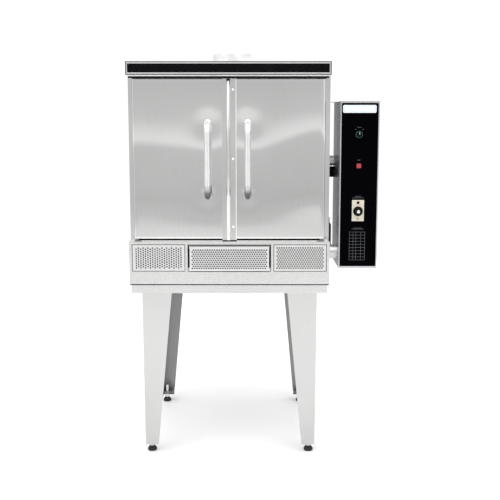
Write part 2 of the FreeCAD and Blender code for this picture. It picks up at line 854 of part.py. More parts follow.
def door_skin():
    """The right door's outer pan, open at the back, with a boss at each end for its hinge pin."""
    body = start_body("pan", "0", "door_front", "0")
    profile = [
        ("door_seam", "door_low"),
        ("door_half", "door_low"),
        ("door_half", "door_top"),
        ("door_seam", "door_top"),
    ]
    block = pad(body, outline(body, "XZ_Plane", profile), "door_back - door_front - thin")
    block.Reversed = True
    doc.recompute()
    upright = [
        "Edge%d" % (i + 1)
        for i, edge in enumerate(block.Shape.Edges)
        if abs(edge.BoundBox.ZLength - number("door_top - door_low")) < 1 and edge.BoundBox.YMin < 1
    ]
    rounding = body.newObject("PartDesign::Fillet", "rounding")
    rounding.Base = (block, upright)
    rounding.setExpression("Radius", linked("door_round"))
    hollow = box(
        ("door_seam + thin", "door_half - thin"),
        ("door_front + thin", "door_back + 5"),
        ("door_low + thin", "door_top - thin"),
    )
    bosses = []
    for z in ("door_low", "door_top - boss_tall"):
        bosses.append(rod("Z", ("pin_x", "pin_y", z), "boss_radius", "boss_tall"))
    bore = rod("Z", ("pin_x", "pin_y", "door_low - 5"), "pin_radius + running", "door_top - door_low + 10")
    return cut(fuse(cut(body, hollow), *bosses), bore)


def door_liner():
    """The right door's inner sheet, dished into the door to stiffen it."""
    plate = box(
        ("door_seam + 0.5", "door_half - 0.5"),
        ("door_back - thin", "door_back"),
        ("door_low + 0.5", "door_top - 0.5"),
    )
    dish = box(
        ("door_seam + 36", "door_half - 58"),
        ("door_back - dish_deep - thin", "door_back"),
        ("door_low + 50", "door_top - 50"),
    )
    hollow = box(
        ("door_seam + 36 + thin", "door_half - 58 - thin"),
        ("door_back - dish_deep", "door_back + 5"),
        ("door_low + 50 + thin", "door_top - 50 - thin"),
    )
    return cut(fuse(plate, dish), hollow)


def door_insulation():
    """A slab of fibre between the right door's sheets, short of the hinge bosses."""
    return box(
        ("door_seam + 2", "door_half - 22"),
        ("door_front + 2", "door_back - 8"),
        ("door_low + 24", "door_top - 24"),
    )


def handle(x):
    """A tube bent at both ends into the door's skin."""
    grip_y = "door_front - handle_out"
    bend_y = grip_y + " + handle_bend"
    grip = rod(
        "Z",
        (x, grip_y, "handle_low + handle_bend"),
        "handle_radius",
        "handle_high - handle_low - 2*handle_bend",
    )
    stubs = []
    for z in ("handle_low", "handle_high"):
        stubs.append(rod("Y", (x, bend_y, z), "handle_radius", "handle_out - handle_bend"))
    down, out, up = FreeCAD.Vector(0, 0, -1), FreeCAD.Vector(0, -1, 0), FreeCAD.Vector(0, 0, 1)
    left = FreeCAD.Vector(-1, 0, 0)
    bends = []
    for z, start, end in (
        ("handle_low + handle_bend", down, out),
        ("handle_high - handle_bend", out, up),
    ):
        bend = doc.addObject("Part::Torus", "bend")
        bend.setExpression("Radius1", linked("handle_bend"))
        bend.setExpression("Radius2", linked("handle_radius"))
        bend.Angle3 = 90
        bends.append(place(bend, x, bend_y, z, turn=FreeCAD.Rotation(start, end, left, "XYZ")))
    return fuse(grip, *stubs, *bends)


def astragal():
    """The strip on the right door that covers the seam, with a round bead down it."""
    height = ("strip_low", "strip_top")
    mount = box(("0", "strip_right"), ("door_front - 2", "door_front"), height)
    cover = box(("-strip_left", "1"), ("door_front - 2.6", "door_front - 0.6"), height)
    start = ("-bead_x", "door_front - 1.6", "strip_low")
    bead = rod("Z", start, "bead_radius", "strip_top - strip_low")
    behind = box(("-20", "20"), ("door_front - 1.6", "20"), ("strip_low - 5", "strip_top + 5"))
    return fuse(mount, cover, cut(bead, behind))


def strip_screws():
    screws = []
    for i in range(3):
        z = "screw_low + %d*screw_step" % i
        screws.append(rod("Y", ("screw_x", "door_front - 4.4", z), "4.5", "2.4"))
    return group(*screws)


def hinge_hardware():
    """Four plates with a pin each: two on the shelf, two under the canopy."""
    plate_xs = ("hinge_inner", "hinge_outer")
    low_plate = box(plate_xs, ("-5", "frame_y"), ("fascia_top", "fascia_top + thick"))
    low_boss = rod("Z", ("pin_x", "pin_y", "fascia_top + 2"), "boss_radius", "door_low - fascia_top - 2.5")
    low_pin = rod("Z", ("pin_x", "pin_y", "fascia_top + 2"), "pin_radius", "28")
    top_plate = box(plate_xs, ("-12", "frame_y"), ("canopy_low - 4", "canopy_low - 1"))
    top_boss = rod("Z", ("pin_x", "pin_y", "door_top + 0.5"), "boss_radius", "canopy_low - door_top - 2")
    top_pin = rod("Z", ("pin_x", "pin_y", "door_top - 16"), "pin_radius", "26")
    low = fuse(low_plate, low_boss, low_pin)
    top = fuse(top_plate, top_boss, top_pin)
    piece("door_hinges", group(low, top, twin(low), twin(top)))


def build_doors():
    skin = piece("door_skin_right", door_skin())
    liner = piece("door_liner_right", door_liner())
    filling = piece("door_insulation_right", door_insulation())
    piece("door_skin_left", twin(skin))
    piece("door_liner_left", twin(liner))
    piece("door_insulation_left", twin(filling))
    piece("door_handle_right", handle("handle_right"))
    piece("door_handle_left", handle("-handle_left"))
    piece("astragal", astragal())
    piece("astragal_screws", strip_screws())
    hinge_hardware()


# ---------------------------------------------------------------- control box


def control_casing():
    """A box of folded sheet with a narrow border left round its open front."""
    shell = box(("case_left", "case_right"), ("case_front", "case_rear"), ("case_low", "case_top"))
    inside = box(
        ("case_left + thin", "case_right - thin"),
        ("case_front + thin", "case_rear - thin"),
        ("case_low + thin", "case_top - thin"),
    )
    mouth = box(
        ("case_left + border", "case_right - border - 2"),
        ("case_front - 5", "case_front + 5"),
        ("case_low + border + 2", "case_top - border - 1"),
    )
    gland = rod("Y", ("control_x", "case_rear - 5", "cable_z"), "gland_radius", "10")
    piece("control_box", cut(shell, inside, mouth, gland))


def control_panel():
    panel = box(
        ("case_left + 2", "case_right - 2"),
        ("case_front + thin + 0.1", "case_front + 3.6"),
        ("case_low + 2", "case_top - 2"),
    )
    holes = []
    for z, radius in (("switch_z", "4.2"), ("lamp_z", "8"), ("knob_z", "3.6"), ("port_z", "5.8")):
        holes.append(rod("Y", ("control_x", "case_front - 5", z), radius, "20"))
    piece("control_panel", cut(panel, *holes))


def name_plate():
    """A blank plate with rounded corners."""
    y = "case_front + thin - 1.1"
    plate = box(
        ("label_left", "label_right"), (y, "case_front + thin + 0.1"), ("label_low", "label_top")
    )
    rounded = doc.addObject("Part::Fillet", "rounded")
    rounded.Base = plate
    doc.recompute()
    along_y = [i + 1 for i, edge in enumerate(plate.Shape.Edges) if edge.BoundBox.YLength > 1]
    rounded.Edges = [(i, 5.0, 5.0) for i in along_y]
    piece("name_plate", rounded)


def selector_switch():
    ring = rod("Y", ("control_x", "case_front - 2.4", "switch_z"), "bezel_radius", "4")
    hole = rod("Y", ("control_x", "case_front - 5", "switch_z"), "dial_radius + 0.4", "12")
    piece("selector_bezel", cut(ring, hole))
    knob = rod("Y", ("control_x", "case_front - 8", "switch_z"), "dial_radius", "9")
    pointer = box(
        ("control_x - 3", "control_x + 3"),
        ("case_front - 14", "case_front - 7"),
        ("switch_z - 9", "switch_z + 9"),
    )
    stem = rod("Y", ("control_x", "case_front", "switch_z"), "4.1", "26")
    piece("selector_knob", fuse(knob, pointer, stem))


def pilot_lamp():
    lens = box(
        ("control_x - lamp_half", "control_x + lamp_half"),
        ("case_front - 4", "case_front + thin"),
        ("lamp_z - lamp_half", "lamp_z + lamp_half"),
    )
    barrel = rod("Y", ("control_x", "case_front", "lamp_z"), "7.9", "32")
    piece("pilot_lamp", fuse(lens, barrel))


def thermostat():
    plate = box(
        ("control_x - plate_half", "control_x + plate_half"),
        ("case_front + 0.2", "case_front + thin + 0.1"),
        ("plate_low", "plate_top"),
    )
    shaft_hole = rod("Y", ("control_x", "case_front - 5", "knob_z"), "5", "20")
    port = rod("Y", ("control_x", "case_front - 5", "port_z"), "5.8", "20")
    piece("thermostat_plate", cut(plate, shaft_hole, port))
    profile = [
        ("0", "0"),
        ("19", "0"),
        ("19", "3"),
        ("17", "5"),
        ("13.5", "6"),
        ("12.5", "19"),
        ("11.5", "20"),
        ("0", "20"),
    ]
    knob = turned("knob", profile, "control_x", "case_front - 0.2", "knob_z")
    knob.Placement = FreeCAD.Placement(knob.Placement.Base, UPRIGHT)
    stem = rod("Y", ("control_x", "case_front - 2", "knob_z"), "3", "30")
    piece("thermostat_knob", fuse(knob, stem))
    case = box(
        ("control_x - 24", "control_x + 24"),
        ("case_front + 3.6", "case_front + 40"),
        ("knob_z - 32", "knob_z + 32"),
    )
    bore = rod("Y", ("control_x", "case_front", "knob_z"), "3 + running", "30")
    piece("thermostat_body", cut(case, bore))


def box_supports():
    """What joins the control box to the oven: a conduit, a coupling, a strap and a gusset."""
    span = "case_left - half"
    lower = rod("X", ("half", "conduit_y", "conduit_z"), "conduit_radius", span)
    lower_bore = rod("X", ("half - 5", "conduit_y", "conduit_z"), "conduit_radius - 2.5", "60")
    upper = rod("X", ("half", "coupling_y", "coupling_z"), "coupling_radius", span)
    upper_bore = rod("X", ("half - 5", "coupling_y", "coupling_z"), "coupling_radius - 4", "60")
    ridges = []
    for x in ("half + 4", "half + 12", "half + 20"):
        ridges.append(rod("X", (x, "coupling_y", "coupling_z"), "coupling_radius + 2", "4"))
    piece("conduits", group(cut(lower, lower_bore), cut(fuse(upper, *ridges), upper_bore)))
    start = ("half", "coupling_y", "coupling_z - gland_drop")
    piece("conduit_gland", rod("X", start, "coupling_radius + 1.5", span))
    strap = box(("half", "case_left"), ("frame_y + 10", "case_rear - 6"), ("case_top - 2", "case_top"))
    profile = [
        ("0", "base_top + 173"),
        ("11", "base_top + 173"),
        ("11", "base_top + 255"),
        ("0", "base_top + 269"),
    ]
    gusset = prism("gusset", "XZ_Plane", profile, "thick", x="half", y="gusset_y")
    piece("box_brackets", group(strap, gusset))


def build_control_box():
    control_casing()
    control_panel()
    name_plate()
    selector_switch()
    pilot_lamp()
    thermostat()
    box_supports()


# ---------------------------------------------------------------- check and write


def check():
    doc.recompute()
    for thing in doc.Objects:
        bad = {"Invalid", "Error"} & set(thing.State)
        if bad:
            sys.exit("%s (%s) is %s" % (thing.Name, thing.Label, sorted(bad)))
    for thing in pieces:
        shape = thing.Shape
        if shape.isNull() or not shape.isValid() or not shape.Solids:
            sys.exit("%s has no valid solid" % thing.Label)
        print("%-24s %d solid(s), %.1f cm3" % (thing.Label, len(shape.Solids), shape.Volume / 1000))


def write():
    os.makedirs("parts", exist_ok=True)
    for thing in pieces:
        thing.Shape.exportStep("parts/%s.step" % thing.Label)
    whole = Part.makeCompound([thing.Shape for thing in pieces]).BoundBox
    print("%d pieces, x %.2f %.2f, y %.2f %.2f, z %.2f %.2f" % (
        len(pieces), whole.XMin, whole.XMax, whole.YMin, whole.YMax, whole.ZMin, whole.ZMax))


fill_sheet()
build_stand()
build_casing()
build_burners()
build_cavity()
build_doors()
build_control_box()
check()
write()
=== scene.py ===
import json
import math

import bmesh
import bpy
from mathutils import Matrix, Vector


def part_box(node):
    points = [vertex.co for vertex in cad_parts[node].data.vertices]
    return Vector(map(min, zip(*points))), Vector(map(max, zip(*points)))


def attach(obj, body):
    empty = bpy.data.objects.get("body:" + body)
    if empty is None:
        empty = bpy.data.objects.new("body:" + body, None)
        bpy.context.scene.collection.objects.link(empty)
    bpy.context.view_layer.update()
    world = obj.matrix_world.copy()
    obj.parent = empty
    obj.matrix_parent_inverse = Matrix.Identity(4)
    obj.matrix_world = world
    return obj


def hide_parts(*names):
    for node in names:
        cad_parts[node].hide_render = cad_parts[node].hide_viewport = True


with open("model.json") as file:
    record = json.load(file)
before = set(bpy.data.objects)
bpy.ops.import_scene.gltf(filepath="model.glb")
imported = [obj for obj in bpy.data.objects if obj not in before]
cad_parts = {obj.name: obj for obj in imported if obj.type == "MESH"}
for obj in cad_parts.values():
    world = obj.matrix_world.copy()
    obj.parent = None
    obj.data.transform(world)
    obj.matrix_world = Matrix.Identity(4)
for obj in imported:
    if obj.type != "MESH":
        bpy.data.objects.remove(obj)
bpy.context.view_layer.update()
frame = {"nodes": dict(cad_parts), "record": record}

MM = 0.001
SLOT_OF = {part["node"]: part["material_slot"] for part in frame["record"]["subparts"]}


# ---------------------------------------------------------------- meshes


def mesh_object(name, points, faces, smooth=True):
    mesh = bpy.data.meshes.new(name)
    mesh.from_pydata([tuple(point) for point in points], [], faces)
    bm = bmesh.new()
    bm.from_mesh(mesh)
    bmesh.ops.remove_doubles(bm, verts=bm.verts, dist=1e-7)
    bmesh.ops.recalc_face_normals(bm, faces=bm.faces)
    bm.to_mesh(mesh)
    bm.free()
    mesh.polygons.foreach_set("use_smooth", [smooth] * len(mesh.polygons))
    piece = bpy.data.objects.new(name, mesh)
    bpy.context.scene.collection.objects.link(piece)
    return piece


def sharpen(piece, degrees=35):
    """Shade smooth across gentle turns only."""
    piece.data.set_sharp_from_angle(angle=math.radians(degrees))


def bevel(piece, width, segments=3):
    modifier = piece.modifiers.new("bevel", "BEVEL")
    modifier.width = width
    modifier.segments = segments
    modifier.limit_method = "ANGLE"
    modifier.angle_limit = math.radians(40)
    modifier.harden_normals = True
    return piece


def block(name, low, high, round_by=0.0):
    """A block with softened edges, for thin plates and strips."""
    xs, ys, zs = zip(low, high)
    points = [(x, y, z) for x in xs for y in ys for z in zs]
    faces = [(0, 1, 3, 2), (4, 6, 7, 5), (0, 4, 5, 1), (2, 3, 7, 6), (0, 2, 6, 4), (1, 5, 7, 3)]
    piece = mesh_object(name, points, faces, smooth=round_by > 0)
    if round_by:
        bevel(piece, round_by)
    return piece


def lathe(name, profile, centre, axis, steps=48, radius_at=None):
    """A turned piece: (radius, distance along the axis) pairs, which radius_at may flute."""
    axis = Vector(axis).normalized()
    side = axis.orthogonal().normalized()
    other = axis.cross(side)
    points = []
    for radius, along in profile:
        for step in range(steps):
            angle = 2 * math.pi * step / steps
            reach = radius_at(radius, along, angle) if radius_at else radius
            spoke = side * math.cos(angle) + other * math.sin(angle)
            points.append(Vector(centre) + axis * along + spoke * reach)
    faces = []
    for ring in range(len(profile) - 1):
        for step in range(steps):
            after = (step + 1) % steps
            faces.append((
                ring * steps + step,
                ring * steps + after,
                (ring + 1) * steps + after,
                (ring + 1) * steps + step,
            ))
    last = (len(profile) - 1) * steps
    faces.append(tuple(range(steps)))
    faces.append(tuple(range(last, last + steps)))
    return mesh_object(name, points, faces)


def frame_ring(name, low, high, wide, depth):
    """A flat rectangular ring in the XZ plane, wide across its strips, depth out towards -Y."""
    (x0, y, z0), (x1, _, z1) = low, high
    outer = [(x0, z0), (x1, z0), (x1, z1), (x0, z1)]
    inner = [(x0 + wide, z0 + wide), (x1 - wide, z0 + wide), (x1 - wide, z1 - wide), (x0 + wide, z1 - wide)]
    points = []
    for at_y in (y, y - depth):
        points += [(x, at_y, z) for x, z in outer]
        points += [(x, at_y, z) for x, z in inner]
    faces = []
    for i in range(4):
        j = (i + 1) % 4
        faces.append((i, j, 4 + j, 4 + i))
        faces.append((8 + i, 8 + j, 12 + j, 12 + i))
        faces.append((i, j, 8 + j, 8 + i))
        faces.append((4 + i, 4 + j, 12 + j, 12 + i))
    return mesh_object(name, points, faces, smooth=False)


def join(name, parts):
    """One mesh object out of several, with their modifiers applied."""
    graph = bpy.context.evaluated_depsgraph_get()
    bm = bmesh.new()
    for part in parts:
        bm.from_mesh(part.evaluated_get(graph).to_mesh())
    mesh = bpy.data.meshes.new(name)
    bm.to_mesh(mesh)
    bm.free()
    for part in parts:
        bpy.data.objects.remove(part)
    piece = bpy.data.objects.new(name, mesh)
    bpy.context.scene.collection.objects.link(piece)
    return piece


# ---------------------------------------------------------------- materials


# A cut edge is a face whose normal's Y part is smaller than this.
EDGE_TURNED = 0.6
# Colour of the painted shade on cut edges, the perforations' walls.
HOLE_SHADE_COLOUR = (0.03, 0.03, 0.03, 1)
# The share of its colour that sheet with painted shade towards the floor keeps at the floor.
FLOOR_SHADE_SHARE = 0.8


class Nodes:
    """Short calls for building one material's node tree."""

    def __init__(self, name):
        self.material = bpy.data.materials.new(name)
        self.material.use_nodes = True
        self.tree = self.material.node_tree
        self.shader = self.tree.nodes["Principled BSDF"]

    def add(self, kind, **settings):
        node = self.tree.nodes.new(kind)
        for word, value in settings.items():
            setattr(node, word, value)
        return node

    def link(self, source, target):
        self.tree.links.new(source, target)

    def set(self, **values):
        for word, value in values.items():
            self.shader.inputs[word.replace("_", " ")].default_value = value

    def noise(self, scale, detail=4.0, roughness=0.55, turn=None):
        """Noise in the object's own metres, stretched by a scale along each axis."""
        place = self.add("ShaderNodeTexCoord").outputs["Object"]
        mapping = self.add("ShaderNodeMapping")
        mapping.inputs["Scale"].default_value = scale
        if turn:
            mapping.inputs["Rotation"].default_value = turn
        noise = self.add("ShaderNodeTexNoise")
        noise.inputs["Scale"].default_value = 1.0
        noise.inputs["Detail"].default_value = detail
        noise.inputs["Roughness"].default_value = roughness
        self.link(place, mapping.inputs["Vector"])
        self.link(mapping.outputs["Vector"], noise.inputs["Vector"])
        return noise.outputs["Fac"]

    def spread(self, value, low, high, start=0.3, end=0.7):
        """A 0 to 1 pattern, mapped to run from low to high."""
        ramp = self.add("ShaderNodeMapRange")
        for word, number in (("From Min", start), ("From Max", end), ("To Min", low), ("To Max", high)):
            ramp.inputs[word].default_value = number
        self.link(value, ramp.inputs["Value"])
        return ramp.outputs["Result"]

    def math(self, operation, one, two):
        node = self.add("ShaderNodeMath", operation=operation)
        for socket, value in zip(node.inputs, (one, two)):
            if isinstance(value, (int, float)):
                socket.default_value = value
            else:
                self.link(value, socket)
        return node.outputs["Value"]

    def colour(self, low, high, pattern):
        mix = self.add("ShaderNodeMix", data_type="RGBA")
        mix.inputs["A"].default_value = (*low, 1)
        mix.inputs["B"].default_value = (*high, 1)
        self.link(pattern, mix.inputs["Factor"])
        self.link(mix.outputs["Result"], self.shader.inputs["Base Color"])
        return mix

    def paint_hole_shade(self, mix, below_z):
        """Painted shade on cut edges, the walls of the perforations, which face neither to the front nor to the
        back, below a height.
        """
        coordinates = self.add("ShaderNodeTexCoord")
        facing = self.add("ShaderNodeSeparateXYZ")
        place = self.add("ShaderNodeSeparateXYZ")
        self.link(coordinates.outputs["Normal"], facing.inputs["Vector"])
        self.link(coordinates.outputs["Object"], place.inputs["Vector"])
        turned = self.math("LESS_THAN", self.math("ABSOLUTE", facing.outputs["Y"], 0.0), EDGE_TURNED)
        under = self.math("LESS_THAN", place.outputs["Z"], below_z)
        dark = self.add("ShaderNodeMix", data_type="RGBA")
        dark.inputs["B"].default_value = HOLE_SHADE_COLOUR
        self.link(mix.outputs["Result"], dark.inputs["A"])
        self.link(self.math("MULTIPLY", turned, under), dark.inputs["Factor"])
        self.link(dark.outputs["Result"], self.shader.inputs["Base Color"])

    def paint_floor_shade(self, mix, top_z):
        """Painted shade: the colour falls to a share of itself from a height down to the floor."""
        place = self.add("ShaderNodeSeparateXYZ")
        self.link(self.add("ShaderNodeTexCoord").outputs["Object"], place.inputs["Vector"])
        floor_shaded = self.add("ShaderNodeMix", data_type="RGBA", blend_type="MULTIPLY")
        floor_shaded.inputs["Factor"].default_value = 1.0
        self.link(mix.outputs["Result"], floor_shaded.inputs["A"])
        self.link(self.spread(place.outputs["Z"], FLOOR_SHADE_SHARE, 1.0, 0.0, top_z), floor_shaded.inputs["B"])
        self.link(floor_shaded.outputs["Result"], self.shader.inputs["Base Color"])

    def bump(self, height, distance, strength=1.0):
        node = self.add("ShaderNodeBump")
        node.inputs["Distance"].default_value = distance
        node.inputs["Strength"].default_value = strength
        self.link(height, node.inputs["Height"])
        self.link(node.outputs["Normal"], self.shader.inputs["Normal"])


def shade(colour, factor):
    return tuple(min(1.0, channel * factor) for channel in colour)


GRAIN = {"upright": (800, 800, 14), "level": (14, 800, 800)}


def brushed(name, colour, grain="upright", rough=0.2, anisotropic=0.75, wear=1.0, hole_shade_below=None,
            floor_shade_from=None):
    """Brushed sheet: fine scratches along the grain, soft cloudy stains and a few handling marks.

    Below one height its cut edges, the perforations' walls, get painted shade, and from another height down to
    the floor its colour darkens with painted shade.
    """
    n = Nodes(name)
    streaks = n.noise(GRAIN[grain], detail=5, roughness=0.6)
    clouds = n.noise((2.3, 2.3, 1.7), detail=5)
    marks = n.noise((21, 21, 16), detail=7, roughness=0.75)
    stains = n.spread(clouds, -0.22 * wear, 0.22 * wear, 0.35, 0.65)
    pattern = n.math("ADD", n.spread(streaks, 0.3, 0.7), stains)
    mix = n.colour(shade(colour, 0.93), shade(colour, 1.05), pattern)
    # Painted shade on the perforations' walls below a height.
    if hole_shade_below:
        n.paint_hole_shade(mix, hole_shade_below)
    # Painted shade: the colour darkens from a height down to the floor.
    if floor_shade_from:
        n.paint_floor_shade(mix, floor_shade_from)
    fine = n.spread(streaks, rough * 0.85, rough * 1.2)
    smudge = n.spread(marks, 0.0, 0.25 * rough * wear, 0.5, 0.75)
    n.link(n.math("ADD", fine, smudge), n.shader.inputs["Roughness"])
    n.set(Metallic=1.0, Anisotropic=anisotropic)
    across = n.add("ShaderNodeTangent", direction_type="RADIAL", axis="Z" if grain == "upright" else "X")
    n.link(across.outputs["Tangent"], n.shader.inputs["Tangent"])
    n.bump(streaks, 0.00001, 0.3)
    return n.material


def polished(name, colour, rough=0.1):
    """Polished tube or wire with faint turning marks and cloudy fingerprints."""
    n = Nodes(name)
    rings = n.noise((90, 90, 900), detail=3)
    prints = n.noise((34, 34, 26), detail=6, roughness=0.7)
    n.colour(shade(colour, 0.94), shade(colour, 1.03), n.spread(prints, 0, 1))
    fine = n.spread(rings, rough - 0.02, rough + 0.03)
    n.link(n.math("ADD", fine, n.spread(prints, 0, 0.07, 0.5, 0.7)), n.shader.inputs["Roughness"])
    n.set(Metallic=1.0)
    n.bump(rings, 0.00001, 0.3)
    return n.material


# Heights over a handle's lower end between which the painted shade on the tube's lower bend fades out.
SHADED_TO = 28 * MM
LIT_FROM = 62 * MM


def handle_painted_shade(name, colour):
    """Polished tube with fingerprints, and painted shade that darkens its lower bend."""
    n = Nodes(name)
    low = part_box("door_handle_left")[0].z
    rings = n.noise((90, 90, 900), detail=3)
    prints = n.noise((34, 34, 26), detail=6, roughness=0.7)
    place = n.add("ShaderNodeSeparateXYZ")
    n.link(n.add("ShaderNodeTexCoord").outputs["Object"], place.inputs["Vector"])
    lit_share = n.spread(place.outputs["Z"], 0.0, 1.0, low + SHADED_TO, low + LIT_FROM)
    # Painted shade darkens the lower bend to 0.16 of the colour; the fingerprints vary it a little.
    n.colour(shade(colour, 0.16), colour, n.math("MULTIPLY", lit_share, n.spread(prints, 0.9, 1.0)))
    n.link(n.math("ADD", n.spread(rings, 0.24, 0.3), n.spread(prints, 0, 0.07)), n.shader.inputs["Roughness"])
    n.set(Metallic=1.0)
    n.bump(rings, 0.00001, 0.3)
    return n.material


def enamel(name, colour, rough=0.12, peel=0.4, shine=0.5, dusty=0.002):
    """Paint, film or enamel: orange peel, thin dust and small differences in tone."""
    n = Nodes(name)
    peeled = n.noise((320, 320, 320), detail=2)
    dust = n.noise((55, 55, 40), detail=7, roughness=0.8)
    n.colour(shade(colour, 0.9), tuple(c * 1.05 + dusty for c in colour), n.spread(dust, 0, 1))
    n.link(n.spread(dust, rough, rough + 0.14, 0.45, 0.75), n.shader.inputs["Roughness"])
    n.set(Specular_IOR_Level=shine)
    n.bump(peeled, 0.00004, peel)
    return n.material


def moulded(name, colour, rough=0.42, shine=0.25):
    """Moulded plastic or rubber with a fine spark-eroded grain."""
    n = Nodes(name)
    grain = n.noise((1400, 1400, 1400), detail=2)
    worn = n.noise((70, 70, 70), detail=6, roughness=0.7)
    n.colour(shade(colour, 0.85), tuple(c * 1.1 + 0.004 for c in colour), n.spread(worn, 0, 1))
    n.link(n.spread(worn, rough - 0.08, rough + 0.14), n.shader.inputs["Roughness"])
    n.set(Specular_IOR_Level=shine)
    n.bump(grain, 0.00006, 0.5)
    return n.material


def cast(name, colour, rough=0.38, metallic=1.0):
    """Cast or mill-finish metal: pitted and blotched, its roughness varying with the blotches."""
    n = Nodes(name)
    pits = n.noise((260, 260, 260), detail=5, roughness=0.7)
    blotches = n.noise((18, 18, 18), detail=6)
    n.colour(shade(colour, 0.72), shade(colour, 1.12), n.spread(blotches, 0, 1))
    n.link(n.spread(blotches, rough - 0.1, rough + 0.16), n.shader.inputs["Roughness"])
    n.set(Metallic=metallic)
    n.bump(pits, 0.0001, 0.5)
    return n.material


def fibrous(name, colour, along=(60, 60, 900)):
    """Mineral wool or woven rope: crossing fibres with deep soft bumps."""
    n = Nodes(name)
    one = n.noise(along, detail=5)
    two = n.noise((along[2], along[0], along[1]), detail=5)
    weave = n.math("MULTIPLY", one, two)
    n.colour(shade(colour, 0.6), shade(colour, 1.15), n.spread(weave, 0, 1, 0.15, 0.4))
    n.set(Roughness=0.95, Sheen_Weight=0.3)
    n.bump(weave, 0.0008, 0.8)
    return n.material


def lens(name, colour):
    """A lit ribbed lens."""
    n = Nodes(name)
    ribs = n.noise((650, 4, 650), detail=1)
    n.colour(shade(colour, 0.8), tuple(min(1, c * 1.05 + 0.03) for c in colour), n.spread(ribs, 0, 1))
    n.set(Roughness=0.2, Coat_Weight=0.2, Emission_Color=(*colour, 1), Emission_Strength=0.15)
    n.bump(ribs, 0.00015, 0.6)
    return n.material


def painted_shade_below(name, low, high, split_z):
    """Plated sheet with painted shade: a dark colour below a height in the object and a light one above it."""
    n = Nodes(name)
    mottle = n.noise((40, 40, 40), detail=6)
    place = n.add("ShaderNodeSeparateXYZ")
    n.link(n.add("ShaderNodeTexCoord").outputs["Object"], place.inputs["Vector"])
    above = n.math("GREATER_THAN", place.outputs["Z"], split_z)
    wash = n.spread(mottle, -0.12, 0.12)
    n.colour(low, high, n.math("MAXIMUM", n.math("ADD", above, wash), 0.0))
    n.link(n.spread(mottle, 0.3, 0.46), n.shader.inputs["Roughness"])
    n.set(Metallic=1.0)
    n.bump(mottle, 0.0001, 0.3)
    return n.material


STEEL = (0.74, 0.74, 0.735)
# Above this height the burner door has its plain lip, and below it the perforations, whose walls get painted
# shade.
LIP_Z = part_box("burner_door")[1].z - 14 * MM
# Height from which painted shade darkens the stand's colour down to the floor.
STAND_TOP = 0.7
# A height over the whole perforated base: the grilles' perforation walls get painted shade below it.
BASE_TOP = 1.0
